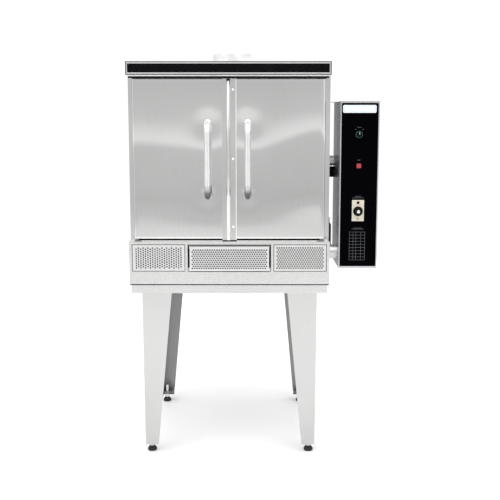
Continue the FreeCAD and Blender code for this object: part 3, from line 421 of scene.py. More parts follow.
# The gusset of the control box lies below this height, darkened with painted shade, and the light strap above it.
BRACKET_SPLIT = 1.2
MATERIALS = {
    "stainless": brushed("stainless_upright", STEEL, rough=0.038, anisotropic=0.9),
    "stainless_strip": brushed("stainless_strip", (0.7, 0.7, 0.695), rough=0.16),
    "stainless_level": brushed("stainless_level", (0.65, 0.65, 0.645), "level", rough=0.26),
    # The grilles and the burner door get painted shade on their perforations' walls.
    "stainless_grille": brushed("stainless_grille", (0.69, 0.69, 0.685), "level", rough=0.3, hole_shade_below=BASE_TOP),
    "stainless_flap": brushed("stainless_flap", (0.72, 0.72, 0.715), "level", rough=0.3, hole_shade_below=LIP_Z),
    "stainless_box": brushed("stainless_box", (0.6, 0.61, 0.63), "upright", rough=0.26),
    "stainless_panel": brushed("stainless_panel", (0.41, 0.41, 0.408), "upright", rough=0.3, wear=1.4),
    "galvanised": cast("galvanised", (0.86, 0.86, 0.86), rough=0.7, metallic=0.0),
    # The gusset's near-black lower part is painted shade.
    "bracket_steel": painted_shade_below("bracket_steel", (0.16, 0.16, 0.16), (0.7, 0.7, 0.7), BRACKET_SPLIT),
    "stainless_liner": brushed("stainless_liner", (0.56, 0.555, 0.54), "upright", rough=0.32, wear=1.8),
    # The stand's colour darkens towards the floor with painted shade.
    "stand_steel": brushed(
        "stand_satin", (0.62, 0.62, 0.615), "upright", rough=0.34, anisotropic=0.4, floor_shade_from=STAND_TOP
    ),
    # The rear legs' darker colour is painted shade, for their place in the shade under the oven.
    "stand_rear": brushed("stand_rear", (0.26, 0.26, 0.26), "upright", rough=0.4, anisotropic=0.4),
    "bright_steel": polished("bright_steel", (0.82, 0.82, 0.815), rough=0.12),
    # The handles' lower bends carry painted shade.
    "handle_steel": handle_painted_shade("handle_steel", (0.84, 0.84, 0.835)),
    "conduit_steel": cast("conduit_steel", (0.68, 0.68, 0.68), rough=0.35),
    "screw_steel": polished("screw_steel", (0.96, 0.96, 0.96), rough=0.3),
    "wire_chrome": polished("wire_chrome", (0.78, 0.78, 0.77), rough=0.13),
    "dark_steel": cast("dark_steel", (0.22, 0.22, 0.22)),
    "foot_black": moulded("foot_black", (0.018, 0.018, 0.018), rough=0.5),
    "black_enamel": enamel("black_enamel", (0.003, 0.003, 0.004), rough=0.2, shine=0.04, dusty=0.001),
    "panel_film": enamel("panel_film", (0.0006, 0.0006, 0.0012), rough=0.25, shine=0.01, dusty=0.0004),
    # Near-black painted shade for the burner space's inside, the sheet round it and the gusset leaf.
    "painted_shade_black": cast("painted_shade_black", (0.012, 0.0115, 0.011), rough=0.7, metallic=0.0),
    "black_plastic": moulded("black_plastic", (0.002, 0.002, 0.002), rough=0.38, shine=0.06),
    "white_plate": enamel("white_plate", (0.74, 0.78, 0.82), rough=0.25),
    "green_ring": enamel("green_ring", (0.014, 0.15, 0.085), rough=0.2),
    "red_lens": lens("red_lens", (0.34, 0.014, 0.026)),
    "ivory_plate": enamel("ivory_plate", (0.56, 0.52, 0.42), rough=0.3),
    "fibre": fibrous("mineral_fibre", (0.72, 0.66, 0.46)),
    "gasket_rope": fibrous("gasket_rope", (0.38, 0.37, 0.35), (500, 500, 1800)),
    "blower_aluminium": cast("blower_aluminium", (0.72, 0.72, 0.73), rough=0.3),
    "shaft_steel": polished("shaft_steel", (0.6, 0.6, 0.6), rough=0.16),
    "motor_paint": enamel("motor_paint", (0.1, 0.12, 0.14), rough=0.35, peel=0.9),
    "valve_brass": cast("valve_brass", (0.3, 0.21, 0.09), rough=0.4),
    "zinc": polished("zinc_plate", (0.7, 0.71, 0.72), rough=0.24),
    "ink": enamel("printed_ink", (0.13, 0.135, 0.15), rough=0.5),
    "label_blue": enamel("label_blue", (0.12, 0.34, 0.62), rough=0.3),
}
FINISH_OF = {
    "stainless_level": ("fascia_panel", "canopy", "stand_frame"),
    "stainless_grille": ("grille_left", "grille_right"),
    "stainless_flap": ("burner_door",),
    "stainless_box": ("control_box",),
    "stainless_panel": ("side_panel_left", "side_panel_right", "back_panel", "top_panel"),
    "stainless_strip": ("astragal", "front_frame"),
    # The rear legs get the steel with painted shade.
    "stand_rear": ("leg_rear_left", "leg_rear_right"),
    "handle_steel": ("door_handle_left", "door_handle_right"),
    "conduit_steel": ("conduits",),
    "panel_film": ("control_panel",),
    "galvanised": ("flue_box",),
    "bracket_steel": ("box_brackets",),
    # The burner space's inside is near-black with painted shade.
    "painted_shade_black": ("base_pan", "burner_tubes", "gas_manifold"),
}
# Folded and milled parts whose sharp CAD edges get a small round.
SOFT_EDGED = (
    "fascia_panel", "canopy", "stand_frame", "control_box", "flue_box", "side_panel_left",
    "side_panel_right", "top_panel", "leg_front_left", "leg_front_right", "leg_rear_left",
    "leg_rear_right", "astragal", "thermostat_plate", "name_plate", "selector_bezel", "box_brackets",
)


SAME_POINT = 0.01 * MM
FOLD_ROUND = 0.45 * MM


def paint(piece, word):
    piece.data.materials.clear()
    piece.data.materials.append(MATERIALS[word])


def material_word(node):
    for word, nodes in FINISH_OF.items():
        if node in nodes:
            return word
    return SLOT_OF[node]


def add(piece, body, slot, material=None, stands_for=()):
    """Every piece made here: its material, the body that it rides on and what it stands for."""
    paint(piece, material or slot)
    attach(piece, body)
    if stands_for:
        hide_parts(*stands_for)
    return piece


def paint_frame():
    for name, piece in frame["nodes"].items():
        paint(piece, material_word(name))
    for name in SOFT_EDGED:
        piece = frame["nodes"][name]
        piece.modifiers.new("weld", "WELD").merge_threshold = SAME_POINT
        bevel(piece, FOLD_ROUND, segments=2)


# ---------------------------------------------------------------- doors

HINGE_ROUND = 5 * MM
SEAM_ROUND = 4 * MM
HEM_ROUND = 2.5 * MM
SHEET = 1.5 * MM
# Length of the sheet's long ripple, per radian.
BUCKLE_LONG = 0.17
# How far round a stud the ripple is held flat.
HELD_WIDE = 29 * MM
# How far in from its folded upright edges the sheet stays flat.
EDGE_STIFF = 16 * MM
# Share of the way from the hinges to the seam at which the ripple's middle tilt is reached.
MIDDLE_AT = 0.72
ROUND_STEPS = 8
SPACING = 9 * MM
# How far each handle stud pulls the sheet in, and how wide.
STUD_DENTS = {"low": (1.15 * MM, 24 * MM), "high": (1.1 * MM, 36 * MM)}
# Where the sheet swells out above its lower edge, and how tall the swell is.
SWELL_UP = 170 * MM
SWELL_TALL = 60 * MM
# Tilt of each door's sheet at the hinges, the middle and the seam, and the depth of its swell.
DOOR_SHAPES = {
    "left": ((-0.001, 0.0016, 0.0), 0.55 * MM),
    "right": ((-0.0105, 0.0014, 0.0), 0.85 * MM),
}


def eased(share):
    share = max(0.0, min(1.0, share))
    return share * share * (3 - 2 * share)


def rounded_steps(low, high, round_low, round_high, spacing):
    """Places across a face, close together in the rounded edges, with how far back each one is."""
    steps = []
    for i in range(ROUND_STEPS):
        angle = math.pi / 2 * i / ROUND_STEPS
        steps.append((low + round_low * (1 - math.cos(angle)), round_low * (1 - math.sin(angle))))
    start, end = low + round_low, high - round_high
    count = max(2, round((end - start) / spacing))
    for i in range(count + 1):
        steps.append((start + (end - start) * i / count, 0.0))
    for i in range(ROUND_STEPS - 1, -1, -1):
        angle = math.pi / 2 * i / ROUND_STEPS
        steps.append((high - round_high * (1 - math.cos(angle)), round_high * (1 - math.sin(angle))))
    return steps


def buckle(x, z, low, high, hinge_x, tilts, swell, studs):
    """How far the sheet lies behind its true plane: a long ripple, a low swell and the studs' dents."""
    across = abs(x - hinge_x) / (high.x - low.x)
    at_hinge, at_middle, at_seam = tilts
    if across < MIDDLE_AT:
        tilt = at_hinge + (at_middle - at_hinge) * eased(across / MIDDLE_AT)
    else:
        tilt = at_middle + (at_seam - at_middle) * eased((across - MIDDLE_AT) / (1 - MIDDLE_AT))
    middle = (low.z + high.z) / 2
    edge = eased((x - low.x) / EDGE_STIFF) * eased((high.x - x) / EDGE_STIFF)
    ripple = tilt * BUCKLE_LONG * math.sin((z - middle) / BUCKLE_LONG)
    dents = 0.0
    held = 1.0
    for word, (stud_x, stud_z) in studs.items():
        deep, wide = STUD_DENTS[word]
        away = (x - stud_x) ** 2 + (z - stud_z) ** 2
        dents += deep * math.exp(-away / (2 * wide**2))
        held *= 1 - math.exp(-away / (2 * HELD_WIDE**2))
    swollen = swell * (1 - eased(across)) * math.exp(-((z - low.z - SWELL_UP) / SWELL_TALL) ** 2 / 2)
    return edge * (ripple * held + dents - swollen)


def door_shell(side, tilts, swell):
    """A door's outer pan: a hand-worked sheet with rounded edges and turned hems, open behind."""
    node = "door_skin_" + side
    low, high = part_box(node)
    handle_low, handle_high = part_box("door_handle_" + side)
    stud_x = (handle_low.x + handle_high.x) / 2
    tube = (handle_high.x - handle_low.x) / 2
    studs = {"low": (stud_x, handle_low.z + tube), "high": (stud_x, handle_high.z - tube)}
    hinge_x = low.x if side == "left" else high.x
    rounds = (HINGE_ROUND, SEAM_ROUND) if side == "left" else (SEAM_ROUND, HINGE_ROUND)
    columns = rounded_steps(low.x, high.x, *rounds, SPACING)
    rows = rounded_steps(low.z, high.z, HEM_ROUND, HEM_ROUND, SPACING)
    points = []
    for z, back_z in rows:
        for x, back_x in columns:
            y = low.y + back_x + back_z + buckle(x, z, low, high, hinge_x, tilts, swell, studs)
            points.append((x, y, z))
    wide, tall = len(columns), len(rows)
    faces = []
    for row in range(tall - 1):
        for column in range(wide - 1):
            corner = row * wide + column
            faces.append((corner, corner + 1, corner + wide + 1, corner + wide))
    rim = list(range(wide))
    rim += [row * wide + wide - 1 for row in range(1, tall)]
    rim += [(tall - 1) * wide + i for i in range(wide - 2, -1, -1)]
    rim += [row * wide for row in range(tall - 2, 0, -1)]
    start = len(points)
    points += [(points[i][0], high.y, points[i][2]) for i in rim]
    for i in range(len(rim)):
        j = (i + 1) % len(rim)
        faces.append((rim[i], rim[j], start + j, start + i))
    shell = mesh_object("door_face_" + side, points, faces)
    thickness = shell.modifiers.new("thickness", "SOLIDIFY")
    thickness.thickness = SHEET
    thickness.offset = -1
    add(shell, "door_" + side, "stainless", stands_for=[node])
    for word, (x, z) in studs.items():
        weld = lathe(
            "handle_weld_%s_%s" % (side, word),
            [(0, 0), (tube + 1.8 * MM, 0), (tube + 1.4 * MM, 1.4 * MM), (tube + 0.4 * MM, 2.4 * MM),
             (tube - 1 * MM, 2.8 * MM), (0, 2.8 * MM)],
            (x, low.y + STUD_DENTS[word][0] + 1 * MM, z),
            (0, -1, 0),
        )
        sharpen(weld, 60)
        add(weld, "door_" + side, "bright_steel")


# Half sizes of the raised cross on a screw's head.
CROSS_LONG = 2.2 * MM
CROSS_THICK = 0.55 * MM


def strip_screws():
    """Domed screws with a cross on the head, in the cover strip."""
    low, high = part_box("astragal_screws")
    radius = (high.x - low.x) / 2
    x = low.x + radius
    step = (high.z - low.z - 2 * radius) / 2
    heads = []
    for i in range(3):
        z = low.z + radius + i * step
        head = lathe(
            "head",
            [(radius, 0), (radius, 0.4 * MM), (radius * 0.9, 1.2 * MM), (radius * 0.62, 1.9 * MM),
             (radius * 0.3, 2.3 * MM)],
            (x, high.y, z),
            (0, -1, 0),
            steps=32,
        )
        heads.append(head)
        for half_wide, half_tall in ((CROSS_LONG, CROSS_THICK), (CROSS_THICK, CROSS_LONG)):
            reach = Vector((half_wide, 0, half_tall))
            out = Vector((0, 1.85 * MM, 0))
            centre = Vector((x, high.y - 2.35 * MM, z))
            heads.append(block("bar", centre - reach, centre + reach + out))
    screws = join("strip_screws", heads)
    add(screws, "door_right", "bright_steel", "screw_steel", stands_for=["astragal_screws"])


def strip_hem():
    """The turned edge down the free side of the cover strip."""
    low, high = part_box("astragal")
    _, screw_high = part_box("astragal_screws")
    wide, thick = 3.4 * MM, 1.2 * MM
    hem = block(
        "strip_hem",
        (high.x - wide, screw_high.y - thick, low.z + 0.5 * MM),
        (high.x - 0.1 * MM, screw_high.y, high.z - 0.5 * MM),
        0.55 * MM,
    )
    add(hem, "door_right", "bright_steel", "screw_steel")


def build_doors():
    for side, (tilts, swell) in DOOR_SHAPES.items():
        door_shell(side, tilts, swell)
    strip_screws()
    strip_hem()


# ---------------------------------------------------------------- canopy


def build_canopy():
    """A black edge line of painted shade and a bright bead round the black insert, and a black strip of painted
    shadow in the gap above the doors.
    """
    low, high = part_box("canopy_insert")
    hood_low, hood_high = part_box("canopy")
    face = hood_low.y
    inset, edge_wide, edge_thick = 0.2 * MM, 3.2 * MM, 0.5 * MM
    edge_low = low.z - 8.5 * MM
    # A black ring of painted shade along the canopy face's outer edge.
    edge = frame_ring(
        "canopy_edge_shade",
        (hood_low.x + inset, face, edge_low),
        (hood_high.x - inset, face, hood_high.z - inset),
        edge_wide,
        edge_thick,
    )
    add(edge, "oven", "black_enamel")
    bead_wide, bead_thick = 4.2 * MM, 1.6 * MM
    bead = frame_ring(
        "canopy_bead",
        (low.x - bead_wide, face, low.z - bead_wide),
        (high.x + bead_wide, face, high.z + bead_wide),
        bead_wide,
        bead_thick,
    )
    bevel(bead, 0.5 * MM)
    add(bead, "oven", "bright_steel")
    _, door_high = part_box("door_skin_left")
    end_gap = 9 * MM
    # A black strip of painted shadow in the gap between the canopy and the doors' tops.
    gap_shade_front, gap_shade_back = face + 4.6 * MM, face + 9.5 * MM
    gap_shade_low, gap_shade_high = door_high.z + 0.8 * MM, door_high.z + 7.4 * MM
    gap_shade = block(
        "canopy_gap_shade",
        (hood_low.x + end_gap, gap_shade_front, gap_shade_low),
        (hood_high.x - end_gap, gap_shade_back, gap_shade_high),
        0.8 * MM,
    )
    add(gap_shade, "oven", "black_plastic")


# ---------------------------------------------------------------- base fascia

FLANGE = 6 * MM
# Width and thickness of the black strips of painted shadow in the gaps round the windows and the burner door.
GAP_SHADE_WIDE = 2.2 * MM
GAP_SHADE_THICK = 0.12 * MM


def window_gap_shades(y):
    """Black rings of painted shadow in the gaps round the fixed windows."""
    for side in ("left", "right"):
        low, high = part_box("grille_" + side)
        inner_low = (low.x + FLANGE, y, low.z + FLANGE)
        inner_high = (high.x - FLANGE, y, high.z - FLANGE)
        ring = frame_ring("gap_shade_" + side, inner_low, inner_high, GAP_SHADE_WIDE, GAP_SHADE_THICK)
        add(ring, "oven", "black_enamel")


def door_surround(y, window_low, window_top):
    """A folded strip behind the gap over the burner door, and black strips of painted shadow in the gaps at its
    sides and foot.
    """
    low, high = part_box("burner_door")
    margin = 0.5 * MM
    lintel = block(
        "burner_lintel",
        (low.x - margin, y + 6 * MM, high.z - 6 * MM),
        (high.x + margin, y + 7.5 * MM, window_top + 4 * MM),
        0.5 * MM,
    )
    add(lintel, "oven", "dark_steel")
    # Black strips of painted shadow in the gaps at the burner door's sides and foot.
    front = y - GAP_SHADE_THICK
    lines = []
    for at, out in ((low.x - margin, -1), (high.x + margin, 1)):
        lines.append(block("jamb", (at, front, window_low), (at + out * GAP_SHADE_WIDE, y, window_top)))
    lines.append(block("foot_line", (low.x, front, window_low - 1.6 * MM), (high.x, y, window_low)))
    add(join("gap_shade_middle", lines), "oven", "black_enamel")


def build_fascia():
    """Black strips of painted shadow in the gaps round the windows and the burner door, and the folded strip that
    the flat fascia lacks.
    """
    face_low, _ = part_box("fascia_panel")
    window_low, window_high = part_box("grille_right")
    window_gap_shades(face_low.y)
    door_surround(face_low.y, window_low.z + FLANGE, window_high.z - FLANGE)


def build_sill():
    """A folded sill on the fascia's top edge, with a black strip of painted shadow in the gap under the doors."""
    face_low, face_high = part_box("fascia_panel")
    left_low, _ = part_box("door_skin_left")
    _, right_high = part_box("door_skin_right")
    strip_low, strip_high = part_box("astragal")
    sill_high = face_high.z + 4.6 * MM
    back = face_low.y + 7 * MM
    ends = ((face_low.x + 6 * MM, strip_low.x), (strip_high.x, face_high.x - 6 * MM))
    sills = []
    for x0, x1 in ends:
        low, high = (x0, face_low.y + 1.5 * MM, face_high.z - 0.2 * MM), (x1, back, sill_high)
        sills.append(block("sill", low, high, 0.6 * MM))
    add(join("door_sill", sills), "oven", "bright_steel", "stainless_level")
    # A black strip of painted shadow in the gap under the doors.
    inset = 14 * MM
    y = face_low.y + 1.9 * MM
    gap_shade = block(
        "long_gap_shade",
        (left_low.x + inset, y, sill_high - 0.2 * MM),
        (right_high.x - inset, back, left_low.z - 1 * MM),
        0.7 * MM,
    )
    under = block("under_strip", (strip_low.x, y, face_high.z), (strip_high.x, back, sill_high), 0.7 * MM)
    add(join("sill_gap_shade", [gap_shade, under]), "oven", "black_plastic")


def build_burner_shade():
    """Near-black sheet of painted shade round the burner space: a roof, two sides and a back."""
    pan_low, pan_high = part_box("base_pan")
    _, fascia_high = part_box("fascia_panel")
    gap, sheet = 3 * MM, 1.2 * MM
    x0, x1 = pan_low.x + gap, pan_high.x - gap
    y0, y1 = pan_low.y + gap, pan_high.y - gap
    z0, z1 = pan_high.z, fascia_high.z - gap
    walls = [
        block("roof", (x0, y0, z1 - sheet), (x1, y1, z1)),
        block("back", (x0, y1 - sheet, z0), (x1, y1, z1)),
    ]
    for x in (x0, x1 - sheet):
        walls.append(block("side", (x, y0, z0), (x + sheet, y1, z1)))
    add(join("burner_shade_sheet", walls), "oven", "dark_steel", "painted_shade_black")


# ---------------------------------------------------------------- feet

THREAD_PITCH = 2.5 * MM
THREAD_DEEP = 0.9 * MM
STEM_RADIUS = 8 * MM
STEM_RINGS = 100
PAD_TOP = 19 * MM
NUT_FLATS = 13 * MM


def foot_pieces(corner):
    """A threaded stem over a moulded pad, with a jam nut under the leg's plate."""
    node = "foot_" + corner
    body = "foot_" + "".join(word[0] for word in corner.split("_"))
    low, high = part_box(node)
    centre = ((low.x + high.x) / 2, (low.y + high.y) / 2, low.z)
    pad_radius = (high.x - low.x) / 2
    pad = lathe(
        "foot_pad_" + corner,
        [(0, 0), (pad_radius - 3 * MM, 0), (pad_radius - 1 * MM, 0.8 * MM), (pad_radius, 3 * MM),
         (pad_radius, 8 * MM), (pad_radius - 0.8 * MM, 10 * MM), (pad_radius - 3.4 * MM, 14.5 * MM),
         (pad_radius - 6.5 * MM, 18 * MM), (pad_radius - 9.5 * MM, 19.6 * MM), (0, 20 * MM)],
        centre,
        (0, 0, 1),
        steps=56,
    )
    sharpen(pad, 50)
    add(pad, body, "foot_black", stands_for=[node])
    stem_top = high.z - low.z

    def thread(radius, along, angle):
        if radius < STEM_RADIUS:
            return radius
        turn = (along / THREAD_PITCH - angle / (2 * math.pi)) % 1.0
        return radius - THREAD_DEEP * abs(2 * turn - 1)

    rings = [(0, PAD_TOP), (STEM_RADIUS, PAD_TOP)]
    for i in range(1, STEM_RINGS + 1):
        rings.append((STEM_RADIUS, PAD_TOP + (stem_top - 21 * MM) * i / STEM_RINGS))
    rings += [(STEM_RADIUS - 1.6 * MM, stem_top), (0, stem_top)]
    stem = lathe("foot_stem_" + corner, rings, centre, (0, 0, 1), steps=24, radius_at=thread)
    add(stem, body, "bright_steel", "zinc")
    nut = lathe(
        "foot_nut_" + corner,
        [(8.9 * MM, 37.4 * MM), (11.6 * MM, 37.4 * MM), (14.2 * MM, 38.6 * MM), (14.2 * MM, 45.9 * MM),
         (8.9 * MM, 45.9 * MM)],
        centre,
        (0, 0, 1),
        steps=72,
        radius_at=hexagon,
    )
    sharpen(nut, 25)
    add(nut, "oven", "dark_steel")


def hexagon(radius, _along, angle):
    """A round section cut to six flats where it reaches past them."""
    if radius < NUT_FLATS:
        return radius
    flat = math.pi / 3
    return radius * math.cos(flat / 2) / math.cos((angle % flat) - flat / 2)


def build_feet():
    for corner in ("front_left", "front_right", "rear_left", "rear_right"):
        foot_pieces(corner)


# ---------------------------------------------------------------- control box


INK_THICK = 0.12 * MM


def build_film_edges():
    """The black face's film, lapped onto the rim on both sides."""
    low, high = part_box("control_box")
    plate_low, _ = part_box("name_plate")
    bare = 4.4 * MM
    lap = plate_low.x - low.x - bare - 0.4 * MM
    rise = 9 * MM
    edges = []
    for x in (low.x + bare, high.x - bare - lap):
        edges.append(block("edge", (x, low.y - 0.2 * MM, low.z + rise), (x + lap, low.y, high.z - rise)))
    add(join("film_edges", edges), "oven", "black_enamel", "panel_film")


def build_label():
    """A fine rule round the blank name plate."""
    low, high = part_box("name_plate")
    inset = 3.5 * MM
    rule = frame_ring(
        "label_rule",
        (low.x + inset, low.y, low.z + inset),
        (high.x - inset, low.y, high.z - inset),
        0.9 * MM,
        0.15 * MM,
    )
    add(rule, "oven", "white_plate", "label_blue")


# Where the settings table's upright rules stand, as shares of its width.
COLUMN_SHARES = (0, 0.24, 0.43, 0.74, 1)


def build_settings_grid():
    """The ruled settings table and its heading rule, blank."""
    panel_low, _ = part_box("control_panel")
    plate_low, plate_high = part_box("thermostat_plate")
    centre_x = (plate_low.x + plate_high.x) / 2
    left, right = centre_x - 32 * MM, centre_x + 29 * MM
    top = plate_low.z - 43 * MM
    rows, row_tall, line = 9, 12.4 * MM, 0.7 * MM
    ys = (panel_low.y - INK_THICK, panel_low.y)
    bars = []
    for row in range(rows + 1):
        z = top - row * row_tall
        bars.append(block("bar", (left, ys[0], z - line), (right, ys[1], z)))
    for share in COLUMN_SHARES:
        x = left + (right - left) * share
        bars.append(block("bar", (x - line / 2, ys[0], top - rows * row_tall), (x + line / 2, ys[1], top)))
    for half, z in ((24 * MM, top + 11 * MM), (17 * MM, top + 15 * MM)):
        bars.append(block("bar", (centre_x - half, ys[0], z), (centre_x + half, ys[1], z + 0.9 * MM)))
    add(join("settings_grid", bars), "oven", "white_plate", "ink")


BAR_TALL = 1 * MM
# Marks over the selector: how far sideways, how far up and half their width.
SELECTOR_TICKS = ((-14 * MM, 6 * MM, 3 * MM), (14 * MM, 6 * MM, 3 * MM), (0, 14 * MM, 8 * MM))


def build_selector_marks():
    """Two ticks and a bar over the selector, and a bar over the lamp and the thermostat."""
    panel_low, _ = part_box("control_panel")
    low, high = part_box("selector_bezel")
    _, lamp_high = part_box("pilot_lamp")
    _, plate_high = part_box("thermostat_plate")
    x = (low.x + high.x) / 2
    ys = (panel_low.y - INK_THICK, panel_low.y)
    bars = []
    for shift, rise, half in SELECTOR_TICKS:
        at = Vector((x + shift, ys[0], high.z + rise))
        bars.append(block("bar", at - Vector((half, 0, 0)), (at.x + half, ys[1], at.z + BAR_TALL)))
    rules = (
        (6 * MM, lamp_high.z + 12 * MM),
        (12 * MM, plate_high.z + 14 * MM),
        (23 * MM, plate_high.z + 8 * MM),
    )
    for half, z in rules:
        bars.append(block("bar", (x - half, ys[0], z), (x + half, ys[1], z + BAR_TALL)))
    add(join("panel_marks", bars), "oven", "white_plate", "ink")
    knob_low, knob_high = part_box("selector_knob")
    middle_z = (knob_low.z + knob_high.z) / 2
    index = block(
        "selector_index",
        (x - 0.8 * MM, knob_low.y - 0.15 * MM, middle_z + 1 * MM),
        (x + 0.8 * MM, knob_low.y + 0.2 * MM, middle_z + 8.4 * MM),
    )
    add(index, "selector", "white_plate")


def build_lamp():
    """A square lens with softened edges in a thin black bezel."""
    low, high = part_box("pilot_lamp")
    panel_low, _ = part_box("control_panel")
    inset = Vector((1.2 * MM, 0, 1.2 * MM))
    cap = block("lamp_lens", low + inset, (high.x - inset.x, panel_low.y, high.z - inset.z), 1.6 * MM)
    add(cap, "oven", "red_lens", stands_for=["pilot_lamp"])
    bezel = frame_ring(
        "lamp_bezel",
        (low.x, panel_low.y, low.z),
        (high.x, panel_low.y, high.z),
        1.1 * MM,
        panel_low.y - low.y - 1.2 * MM,
    )
    add(bezel, "oven", "black_plastic")


DIAL_MARKS = 11
KNOB_FLUTES = 14


def build_thermostat():
    """A fluted knob with a bright cap and marks on its skirt, and a small screw in the plate."""
    low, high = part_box("thermostat_knob")
    radius = (high.x - low.x) / 2
    x, z = (low.x + high.x) / 2, (low.z + high.z) / 2
    plate_low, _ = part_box("thermostat_plate")
    base = plate_low.y - 0.2 * MM

    def flutes(reach, along, angle):
        if along < 6.5 * MM or reach < 9 * MM:
            return reach
        return reach * (1 - 0.05 * max(0.0, math.cos(angle * KNOB_FLUTES)))

    tall = base - low.y
    profile = [
        (0, 0), (radius - 0.6 * MM, 0), (radius, 0.7 * MM), (radius, 2.6 * MM), (radius - 1.4 * MM, 4.4 * MM),
        (radius - 5 * MM, 6 * MM), (radius - 5.6 * MM, 7 * MM), (radius - 6.2 * MM, tall - 2.4 * MM),
        (radius - 7 * MM, tall - 0.8 * MM), (radius - 8.2 * MM, tall - 0.5 * MM), (0, tall - 0.5 * MM),
    ]
    knob = lathe("thermostat_dial", profile, (x, base, z), (0, -1, 0), steps=112, radius_at=flutes)
    sharpen(knob, 40)
    add(knob, "thermostat", "black_plastic", stands_for=["thermostat_knob"])
    cap_radius = 6.4 * MM
    cap = lathe(
        "thermostat_cap",
        [(0, 0), (cap_radius, 0), (cap_radius - 0.5 * MM, 0.35 * MM), (0, 0.5 * MM)],
        (x, low.y + 0.5 * MM, z),
        (0, -1, 0),
        steps=64,
    )
    add(cap, "thermostat", "bright_steel")
    ticks = []
    for i in range(DIAL_MARKS):
        angle = math.radians(-150 + 300 / (DIAL_MARKS - 1) * i)
        out = Vector((math.sin(angle), 0, math.cos(angle)))
        centre = Vector((x, base - 4.5 * MM, z)) + out * (radius - 2.9 * MM)
        half = Vector((0.5 * MM, 0.5 * MM, 0.5 * MM))
        ticks.append(block("tick", centre - half, centre + half))
    add(join("thermostat_ticks", ticks), "thermostat", "white_plate", "ink")
    screw = lathe(
        "plate_screw",
        [(3.2 * MM, 0), (3.1 * MM, 0.6 * MM), (1.6 * MM, 1.5 * MM), (0, 1.7 * MM)],
        (x, plate_low.y, plate_low.z + 9 * MM),
        (0, -1, 0),
        steps=32,
    )
    add(screw, "oven", "bright_steel", "dark_steel")


def build_bracket():
    """The gusset's front leaf, on the oven's side below the couplings, near-black with painted shade."""
    low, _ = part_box("box_brackets")
    _, side_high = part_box("side_panel_right")
    _, frame_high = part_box("front_frame")
    x, y = side_high.x, frame_high.y + 1 * MM
    wide, sheet, slope = 9.5 * MM, 2 * MM, 14 * MM
    z0, z1 = low.z - 18 * MM, low.z + 78 * MM
    outline = [(x, z0), (x + wide, z0), (x + wide, z1 - slope), (x, z1)]
    points = [(px, py, pz) for py in (y, y + sheet) for px, pz in outline]
    faces = [(0, 1, 2, 3), (4, 5, 6, 7), (0, 1, 5, 4), (1, 2, 6, 5), (2, 3, 7, 6), (3, 0, 4, 7)]
    leaf = bevel(mesh_object("gusset_leaf", points, faces), 0.4 * MM)
    add(leaf, "oven", "dark_steel", "painted_shade_black")


def build_control_box():
    build_bracket()
    build_film_edges()
    build_label()
    build_settings_grid()
    build_selector_marks()
    build_lamp()
    build_thermostat()


# ---------------------------------------------------------------- studio

CAMERA_AT = (-0.0017, -3.8456, 1.3660)
CAMERA_PITCH = 0.1484
CAMERA_YAW = 0.0024
LENS = 62.77

# Brightness of the room against the sine of the height above the horizon.
ROOM = (
    (-1.0, 0.95), (-0.16, 1.0), (-0.128, 0.95), (-0.118, 0.69), (-0.095, 0.62), (-0.04, 0.68),
    (-0.026, 0.71), (-0.0245, 0.98), (-0.015, 0.93), (0.002, 0.72), (0.04, 0.66), (0.1, 0.7),
    (0.3, 0.95), (0.6, 1.6), (1.0, 1.8),
)

# Brightness against how far a direction points from the front (-1) to the back (1).
ROOM_ROUND = (
    (-1.0, 1.0), (-0.96, 1.0), (-0.92, 1.4), (-0.5, 1.4), (-0.3, 1.1), (0.1, 0.8), (0.35, 0.5),
    (0.7, 0.5), (0.85, 1.1), (1.0, 1.5),
)


BACKDROP = (1.05, 1.05, 1.05, 1)


def build_camera():
    data = bpy.data.cameras.new("camera")
    data.lens = LENS
    data.sensor_width = 36.0
    camera = bpy.data.objects.new("camera", data)
    camera.location = CAMERA_AT
    camera.rotation_euler = (math.pi / 2 - CAMERA_PITCH, 0, CAMERA_YAW)
    bpy.context.scene.collection.objects.link(camera)
    bpy.context.scene.camera = camera


def direction_ramp(tree, component, levels):
    """Brightness by one component of the direction, from -1 to 1."""
    shift = tree.nodes.new("ShaderNodeMapRange")
    shift.inputs["From Min"].default_value = -1.0
    ramp = tree.nodes.new("ShaderNodeValToRGB")
    stops = ramp.color_ramp.elements
    while len(stops) < len(levels):
        stops.new(0.5)
    for stop, (place, level) in zip(stops, levels):
        stop.position = (place + 1) / 2
    for stop, (place, level) in zip(stops, levels):
        stop.color = (level, level, level, 1)
    tree.links.new(component, shift.inputs["Value"])
    tree.links.new(shift.outputs["Result"], ramp.inputs["Fac"])
    return ramp.outputs["Color"]


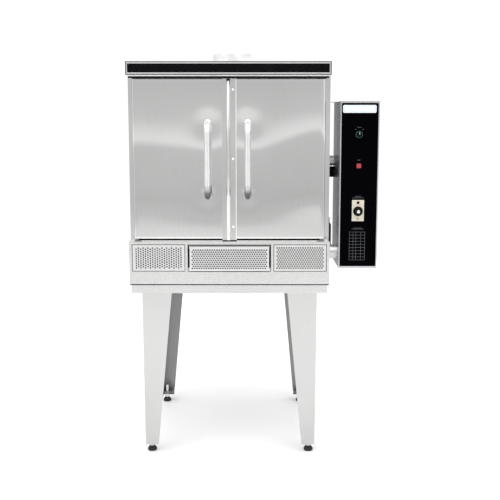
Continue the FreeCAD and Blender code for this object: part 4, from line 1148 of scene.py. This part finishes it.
def colour_mix(tree, blend, one, two, factor=None):
    mix = tree.nodes.new("ShaderNodeMix")
    mix.data_type = "RGBA"
    mix.blend_type = blend
    mix.inputs["Factor"].default_value = 1.0
    for socket, value in (("A", one), ("B", two), ("Factor", factor)):
        if isinstance(value, tuple):
            mix.inputs[socket].default_value = value
        elif value:
            tree.links.new(value, mix.inputs[socket])
    return mix.outputs["Result"]


def build_room():
    """A pale room seen only in reflections and as light: the camera itself sees white behind."""
    world = bpy.data.worlds.new("room")
    bpy.context.scene.world = world
    world.use_nodes = True
    tree = world.node_tree
    split = tree.nodes.new("ShaderNodeSeparateXYZ")
    tree.links.new(tree.nodes.new("ShaderNodeTexCoord").outputs["Generated"], split.inputs["Vector"])
    by_height = direction_ramp(tree, split.outputs["Z"], ROOM)
    by_side = direction_ramp(tree, split.outputs["Y"], ROOM_ROUND)
    room = colour_mix(tree, "MULTIPLY", by_height, by_side)
    seen = tree.nodes.new("ShaderNodeLightPath").outputs["Is Camera Ray"]
    result = colour_mix(tree, "MIX", room, BACKDROP, seen)
    tree.links.new(result, tree.nodes["Background"].inputs["Color"])


def soft_light(name, at, aim, wide, power):
    data = bpy.data.lights.new(name, "AREA")
    data.size = wide
    data.energy = power
    light = bpy.data.objects.new(name, data)
    light.location = at
    light.rotation_euler = (Vector(aim) - Vector(at)).to_track_quat("-Z", "Y").to_euler()
    bpy.context.scene.collection.objects.link(light)


def build_floor():
    radius = 5.0
    count = 96
    points = [(radius * math.cos(2 * math.pi * i / count), radius * math.sin(2 * math.pi * i / count), 0)
              for i in range(count)]
    floor = mesh_object("floor", points, [tuple(range(count))], smooth=False)
    n = Nodes("pale_floor")
    mottle = n.noise((3, 3, 3), detail=3)
    n.colour((0.97, 0.97, 0.97), (0.99, 0.99, 0.99), mottle)
    n.set(Roughness=0.6)
    floor.data.materials.append(n.material)


def build_studio():
    build_camera()
    build_room()
    build_floor()
    soft_light("top_light", (0.0, -0.8, 4.2), (0, 0, 0.8), 3.5, 18)
    soft_light("left_light", (-3.6, -2.6, 2.8), (0, 0, 0.9), 2.0, 9)
    bpy.context.scene.view_settings.view_transform = "Standard"


paint_frame()
build_doors()
build_canopy()
build_fascia()
build_sill()
build_burner_shade()
build_feet()
build_control_box()
build_studio()
